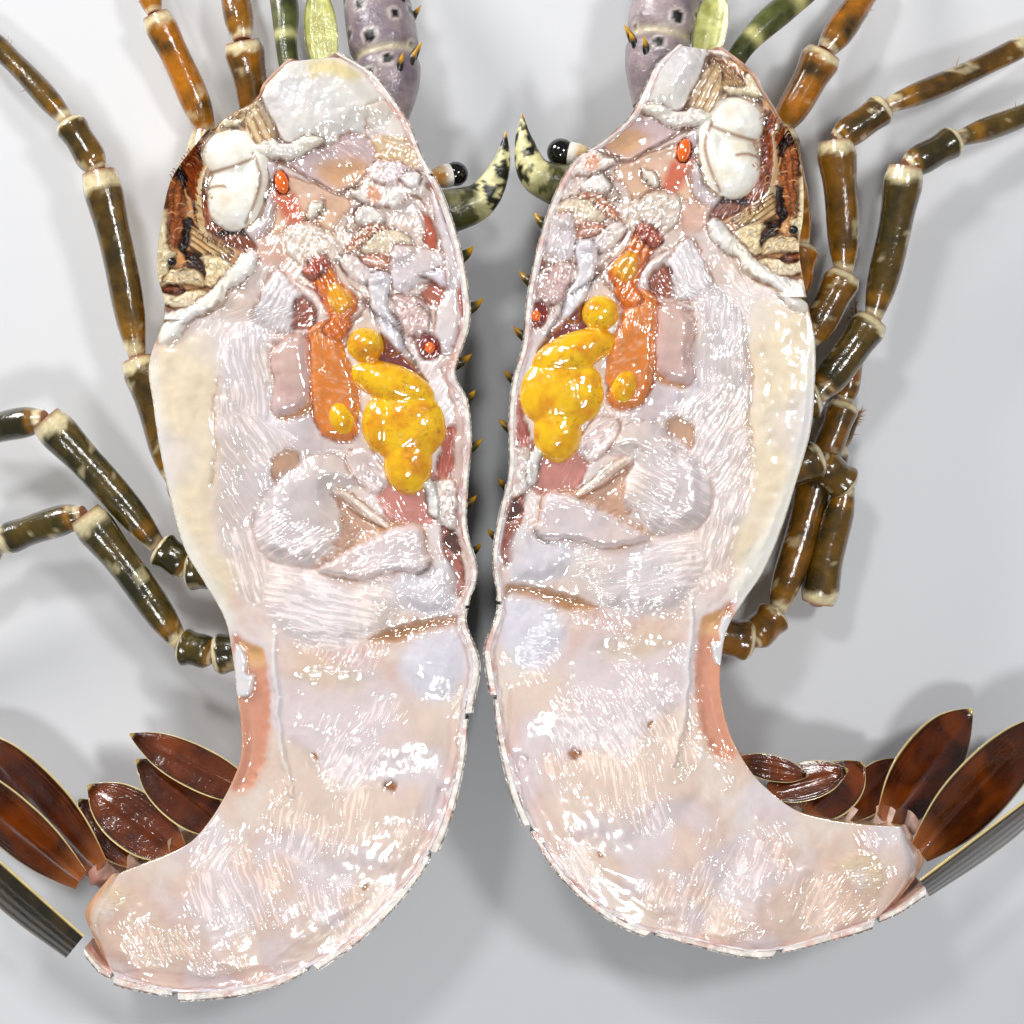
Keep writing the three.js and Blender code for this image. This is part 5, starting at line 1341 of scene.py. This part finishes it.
# %% Feelers
BASES = {"left": [(-33, 100, 26), (-32, 112, 25), (-34, 126, 23), (-37, 143, 20), (-39, 153, 17)],
         "right": [(37, 104, 26), (37.5, 116, 25), (40, 131, 23), (45, 147, 20), (48, 157, 17)]}
BASE_RADII = [6, 8.5, 9, 7.5, 5]
WHIPS = {"left": [(-38.8, 152.4, 17.1), (-47, 176, 12), (-64, 199, 7), (-92, 216, 3.5), (-126, 223, 2.2),
                  (-160, 215, 1.8), (-188, 193, 1.5), (-204, 163, 1.2), (-209, 130, 1), (-206, 98, 0.8)],
         "right": [(47.8, 156.4, 17.1), (58, 180, 12), (76, 201, 7), (104, 216, 3.5), (138, 220, 2.2),
                   (170, 209, 1.8), (196, 186, 1.5), (210, 156, 1.2), (214, 124, 1), (210, 92, 0.8)]}
WHIP_RADII = [3.6, 3.4, 3.1, 2.8, 2.2, 1.8, 1.5, 1.2, 1, 0.8]
ANTENNULES = {"left": [(-56, 108, 27), (-58, 120, 25), (-59, 132, 22), (-64, 150, 14), (-72, 170, 6)],
              "right": [(54, 110, 27), (60, 120, 25), (70, 130, 22), (86, 143, 14), (101, 158, 6)]}
FLAPS = {"left": ((-47, 110, 29), (-50, 136, 26)), "right": ((49, 113, 29), (53, 135, 26))}


BASE_SPOTS = [  # share of the length, degrees round it, radius
    (0.42, 70, 1.7), (0.5, 118, 1.2), (0.56, 62, 1.5), (0.6, 100, 1.1), (0.66, 135, 1.4), (0.3, 95, 1.3),
    (0.24, 60, 1.1), (0.78, 85, 1.2), (0.46, 25, 1.3), (0.6, 20, 1.2), (0.36, 150, 1.2), (0.52, 160, 1.3)]


def base_shade(half):
    line, size = curve_through(BASES[half.name]), curve_through(BASE_RADII)

    def shade(spots, u, w):
        shades = mixed(tint("#7d6f78"), tint("#ac9c9c"), np.clip(0.5 + lumpy(spots, 8, 3, 2.0), 0, 1))
        for share, turn, radius in BASE_SPOTS:
            centre = line([share * 4])[0]
            forward = line([share * 4 + 0.1])[0] - centre
            level = np.cross(forward, (0, 0, 1)) * half.side
            angle = math.radians(turn)
            out = level / np.linalg.norm(level) * math.cos(angle) + np.array([0, 0, 1]) * math.sin(angle)
            away = np.linalg.norm(spots - centre - out * size([share * 4])[0, 0], axis=1)
            shades = mixed(shades, tint("#dcd2cc"), (1 - ramp(away, radius + 0.4, radius + 1.2)) * 0.7)
            shades = mixed(shades, tint("#12100e"), 1 - ramp(away, radius - 0.2, radius + 0.3))
        joint = np.exp(-((u - 0.34) / 0.018) ** 2) + np.exp(-((u - 0.72) / 0.018) ** 2)
        return mixed(shades, tint("#d8cdb0"), np.clip(joint, 0, 1) * 0.8)

    return shade


def base(bm, half):
    path = BASES[half.name]
    steps = np.linspace(0, 4, 60)
    sizes = curve_through(BASE_RADII)(steps)[:, 0]
    waist = np.exp(-((steps / 4 - 0.34) / 0.03) ** 2) + np.exp(-((steps / 4 - 0.72) / 0.03) ** 2)
    tube(bm, path, sizes * (1 - 0.14 * waist) * np.where(steps < 3.9, 1, 0.9), base_shade(half),
         rows=110, around=56)
    line = curve_through(path)
    chance = random.Random(5)
    for share in (0.25, 0.28, 0.31, 0.5, 0.55, 0.62, 0.66, 0.68, 0.86, 0.9):
        middle = line([share * 4])[0]
        forward = line([share * 4 + 0.1])[0] - middle
        forward /= np.linalg.norm(forward)
        level = np.cross(forward, (0, 0, 1))
        turn = chance.uniform(-0.3, math.pi + 0.3)
        out = level * math.cos(turn) * half.side + np.array([0, 0, 1]) * math.sin(turn)
        size = curve_through(BASE_RADII)([share * 4])[0, 0]
        root = middle + out * (size - 1.0)
        spine(bm, root, root + out * 3.4 + forward * 3.6, 1.25, tint("#15130d"), tint("#d9a530"))
    return bm


def whip_shade(spots, u, w):
    bands = ramp(np.sin(u * 60 + 2 * lumpy(spots, 30, 2)), 0.5, 0.9)
    shades = mixed(tint("#2c3316"), tint("#8c6a2f"), ramp(u, 0.1, 0.9) * 0.7)
    shades = mixed(shades, tint("#d9cf9c"), bands * 0.55)
    rings = 0.5 + 0.5 * np.sin(u * 2 * np.pi * 150)
    return mixed(shades, tint("#15150a"), rings * 0.3)


def antennule_shade(spots, u, w):
    shades = mixed(tint("#2b3312"), tint("#5d6130"), np.clip(0.5 + lumpy(spots, 5, 3, 1.0), 0, 1))
    pale = np.exp(-((u - 0.3) / 0.03) ** 2) + np.exp(-((u - 0.55) / 0.03) ** 2)
    return mixed(shades, tint("#dcd79c"), np.clip(pale, 0, 1) * 0.8)


def flap_shade(spots, u, side):
    shades = mixed(tint("#cfd08f"), tint("#a9a55c"), np.clip(0.4 + lumpy(spots, 4, 3, 1.0), 0, 1))
    return mixed(shades, tint("#3a3c18"), ramp(np.abs(side), 0.8, 0.95) * 0.7)


base_finish = wet_surface("feeler root", roughness=0.35, coat=0.6, mottle=0.2, mottle_size=2, grain=0.25,
                          grain_size=1.2)
feeler_finish = wet_surface("feeler", roughness=0.35, coat=0.6, mottle=0.25, mottle_size=2, grain=0.1,
                            grain_size=0.8)
for half in HALVES:
    side = half.name
    bm = base(start_mesh(), half)
    piece(f"{side}_antenna_base", bm, base_finish, [f"{side}_antenna_base"])
    steps = np.linspace(0, 9, 900)
    rings = curve_through(WHIP_RADII)(steps)[:, 0] * (0.95 + 0.05 * np.sin(steps / 9 * 2 * np.pi * 150))
    bm = tube(start_mesh(), WHIPS[side], rings, whip_shade, rows=900, around=14)
    piece(f"{side}_antenna_whip", bm, feeler_finish, [f"{side}_antenna_whip"])
    bm = tube(start_mesh(), ANTENNULES[side], [2.6, 2.8, 3.6, 2, 0.8], antennule_shade, rows=120, around=24)
    leaf(bm, *FLAPS[side], (1, 0.1, 0.2), 9, 1.2, flap_shade, cup=1.5, rows=50, around=50)
    piece(f"{side}_antennule", bm, feeler_finish, [f"{side}_antennule"])

# %% [markdown]
# The eye is a glossy black ball on a short stalk, set in a white ring, under the horn.

# %% Eyes
EYES = {"left": ((-24, 85, 26), (-14.5, 87.5, 22), 3.2), "right": ((25, 90, 27), (12.5, 92.5, 25), 3.6)}


def stalk_shade(spots, u, w):
    shades = mixed(tint("#c98a4c"), tint("#e2cfa6"), np.clip(0.5 + lumpy(spots, 3, 3, 2.0), 0, 1))
    return mixed(shades, tint("#f4efe6"), ramp(u, 0.7, 0.9))


eye_finish = wet_surface("eye", roughness=0.08, coat=1.0, mottle=0.1, mottle_size=1, grain=0.02,
                         grain_size=0.4)
for half in HALVES:
    root, ball, radius = EYES[half.name]
    stalk_end = np.asarray(ball) + (np.asarray(root) - np.asarray(ball)) * 0.18
    bm = tube(start_mesh(), [root, stalk_end], [2.2, 2.0, 2.2, 3.0, 3.15], stalk_shade, rows=30, around=28)
    paint = bm.verts.layers.float_color[PAINT]
    centre = Matrix.Translation(Vector(np.asarray(ball) + CENTRE) * MM)
    made = bmesh.ops.create_icosphere(bm, subdivisions=4, radius=radius * MM, matrix=centre)["verts"]
    for vert in made:
        vert[paint] = tint("#0b0908")
    piece(f"{half.name}_eye", bm, eye_finish, [f"{half.name}_eye"])

# %% [markdown]
# The mouth lies between the belly edge and the flesh. Rust-brown tissue with rows of dark bristles fills it,
# a strip of cream plate runs along its outer edge, and pale folded plates close it towards the chest.

# %% Mouthparts
MOUTH = (3.25, 8.15)
MOUTH_TOP = 0.6
MOUTH_OUTSIDE = 0.74
MOUTH_GRID = (200, 130)


def mouth_place(half, faces):
    def place(u, w):
        t = MOUTH[0] + (MOUTH[1] - MOUTH[0]) * u
        back, belly = half.edges(t)
        inward = (back - belly) / np.linalg.norm(back - belly, axis=1)[:, None]
        top = np.clip(w / MOUTH_TOP, 0, 1)
        flat = belly + inward * (0.1 + (lining_at(t)[:, 0] + 1.2) * top)[:, None]
        faces[half.name] = cut_face(*half.to_left(flat))
        fade = ramp(top, 0, 0.06) * ramp(1 - top, 0, 0.06)
        face = np.column_stack([flat, CUT - 0.8 + fade * faces[half.name][0]])
        inner = face.copy()
        inner[:, 2] = CUT - 0.6 - 14 * ramp(w, MOUTH_TOP, 0.7)
        outer = half.skin(t, 150 + 30 * ramp(w, MOUTH_OUTSIDE, 1.0), -0.15)
        outer[:, 2] = np.minimum(outer[:, 2], CUT - 0.6)
        made = np.where((w <= MOUTH_TOP)[:, None], face, inner)
        made = np.where((w >= MOUTH_OUTSIDE)[:, None], outer, made)
        edge = np.column_stack([belly + 0.1 * inward, np.full(len(t), CUT - 0.8)])
        closing = ramp(w, SEAM, 1.0)[:, None]
        return made * (1 - closing) + edge * closing

    return place


def mouth_colour(half, faces):
    def colour(spots, u, w):
        cream = mixed(tint("#e9dcb4"), tint("#c9a673"), np.clip(0.5 + lumpy(spots, 3, 3, 8.0), 0, 1))
        return mixed(faces[half.name][1], cream, ramp(w, 0.7, MOUTH_OUTSIDE))

    return colour


BRISTLE_ROWS = [  # a row's two ends on the left half, the way its bristles lean and their count
    ((-86.2, 67), (-86, 84), (2.2, -0.4), 13), ((-82.6, 68), (-82.2, 83), (-1.8, -0.8), 11),
    ((-81.5, 87), (-78, 93), (2.0, -1.2), 8), ((-80, 72), (-77, 86), (2.2, -1.4), 11),
    ((-77, 79), (-70, 72), (1.0, 1.8), 9), ((-86, 84.5), (-80.5, 92), (1.2, -1.6), 9),
    ((-82.8, 60.5), (-80.4, 66), (1.6, -0.6), 5), ((-79, 68.5), (-71, 65), (0.8, 1.8), 7)]


mouth_finish = wet_surface("mouth", roughness=0.4, coat=0.7, mottle=0.18, mottle_size=1.2, grain=0.16,
                           grain_size=0.9)
for half in HALVES:
    bm = start_mesh()
    chance = random.Random(11)
    for start, end, lean, count in BRISTLE_ROWS:
        for i in range(count):
            share = (i + chance.uniform(-0.3, 0.3)) / count
            x = start[0] + (end[0] - start[0]) * share
            y = start[1] + (end[1] - start[1]) * share
            reach = chance.uniform(0.7, 1.25)
            far_x, far_y = x + lean[0] * reach, y + lean[1] * reach + chance.uniform(-0.6, 0.6)
            root = (*half.from_left(x, y), 36.6)
            tip = (*half.from_left(far_x, far_y), 37.8 + chance.uniform(-0.4, 0.6))
            middle = (*half.from_left((x + far_x) / 2, (y + far_y) / 2 + 0.3), 38.3)
            code = chance.choice(["#4a1f10", "#7a3a1e", "#a8683c", "#e3bd92"])
            hue = tint(code)
            tube(bm, [root, middle, tip], [0.16, 0.12, 0.04], lambda spots, u, w: np.tile(hue, (len(u), 1)),
                 rows=6, around=5)
    faces = {}
    rolled(bm, *MOUTH_GRID, mouth_place(half, faces), mouth_colour(half, faces))
    piece(f"{half.name}_mouthparts", bm, mouth_finish, [f"{half.name}_mouthparts"])
    bead_x, bead_y = half.from_left(-85, 62.5)
    bead_bm = start_mesh()
    place = Matrix.Translation(Vector((bead_x + CENTRE[0], bead_y + CENTRE[1], 37.8)) * MM)
    for vert in bmesh.ops.create_icosphere(bead_bm, subdivisions=3, radius=1.2 * MM, matrix=place)["verts"]:
        vert[bead_bm.verts.layers.float_color[PAINT]] = tint("#0b0908")
    piece(f"{half.name}_mouth_bead", bead_bm, eye_finish)

# %% [markdown]
# Two small orange beads show in the cut head: a large one in red flesh behind the jaw, and one by the roe.

# %% Orange beads
BEADS = [((-57.7, 82.6, 36.9), (1.7, 3.0, 1.5), 12), ((-20.6, 41.2, 36.6), (1.3, 1.5, 1.2), 0)]


def bead_shade(spots):
    return np.tile(tint("#f0760c"), (len(spots), 1))


for half in HALVES:
    beads = melted("beads", lobes(half, BEADS, 3), 0.25, 2, bead_shade)
    piece(f"{half.name}_beads", beads, roe_finish, sharp=180)

# %% [markdown]
# The table, the light and the camera. The camera looks straight down, as the photograph does, from 45 cm
# over the cut faces. A large soft light keeps the shadows open. Three small ones put glints on the wet film.

# %% Table, light and camera
def stage_floor():
    bm = bmesh.new()
    bmesh.ops.create_grid(bm, x_segments=1, y_segments=1, size=1.5)
    mesh = bpy.data.meshes.new("table")
    bm.to_mesh(mesh)
    bm.free()
    table = bpy.data.objects.new("table", mesh)
    bpy.context.scene.collection.objects.link(table)
    material = bpy.data.materials.new("pale table")
    material.use_nodes = True
    surface = material.node_tree.nodes["Principled BSDF"]
    surface.inputs["Base Color"].default_value = (0.72, 0.73, 0.75, 1)
    surface.inputs["Roughness"].default_value = 0.6
    mesh.materials.append(material)


def area_light(name, place, aim, size, power, colour=(1, 1, 1)):
    data = bpy.data.lights.new(name, "AREA")
    data.shape = "DISK"
    data.size = size
    data.energy = power
    data.color = colour
    light = bpy.data.objects.new(name, data)
    light.location = place
    light.rotation_euler = (Vector(aim) - Vector(place)).to_track_quat("-Z", "Y").to_euler()
    bpy.context.scene.collection.objects.link(light)


CAMERA_HEIGHT = 0.488
CAMERA_LENS = 63.3


def photo_camera():
    data = bpy.data.cameras.new("photo")
    data.sensor_width = 36
    data.lens = CAMERA_LENS
    camera = bpy.data.objects.new("photo", data)
    camera.location = (CENTRE[0] * MM, CENTRE[1] * MM, CAMERA_HEIGHT)
    bpy.context.scene.collection.objects.link(camera)
    bpy.context.scene.camera = camera


stage_floor()
area_light("window", (-0.62, 0.55, 0.36), (0, -0.03, 0.02), 0.3, 5.6, (1.0, 0.98, 0.95))
for number, spot in enumerate([(-0.2, 0.34, 0.6), (0.27, 0.1, 0.6), (-0.03, -0.33, 0.62)], 1):
    area_light(f"lamp {number}", spot, (0, 0, 0.03), 0.1, 1.32)
world = bpy.data.worlds.new("studio")
world.use_nodes = True
world.node_tree.nodes["Background"].inputs["Color"].default_value = (0.9, 0.93, 1.0, 1)
world.node_tree.nodes["Background"].inputs["Strength"].default_value = 0.16
bpy.context.scene.world = world
bpy.context.scene.view_settings.view_transform = "Standard"
photo_camera()
print("camera", CAMERA_HEIGHT, "m over the table")
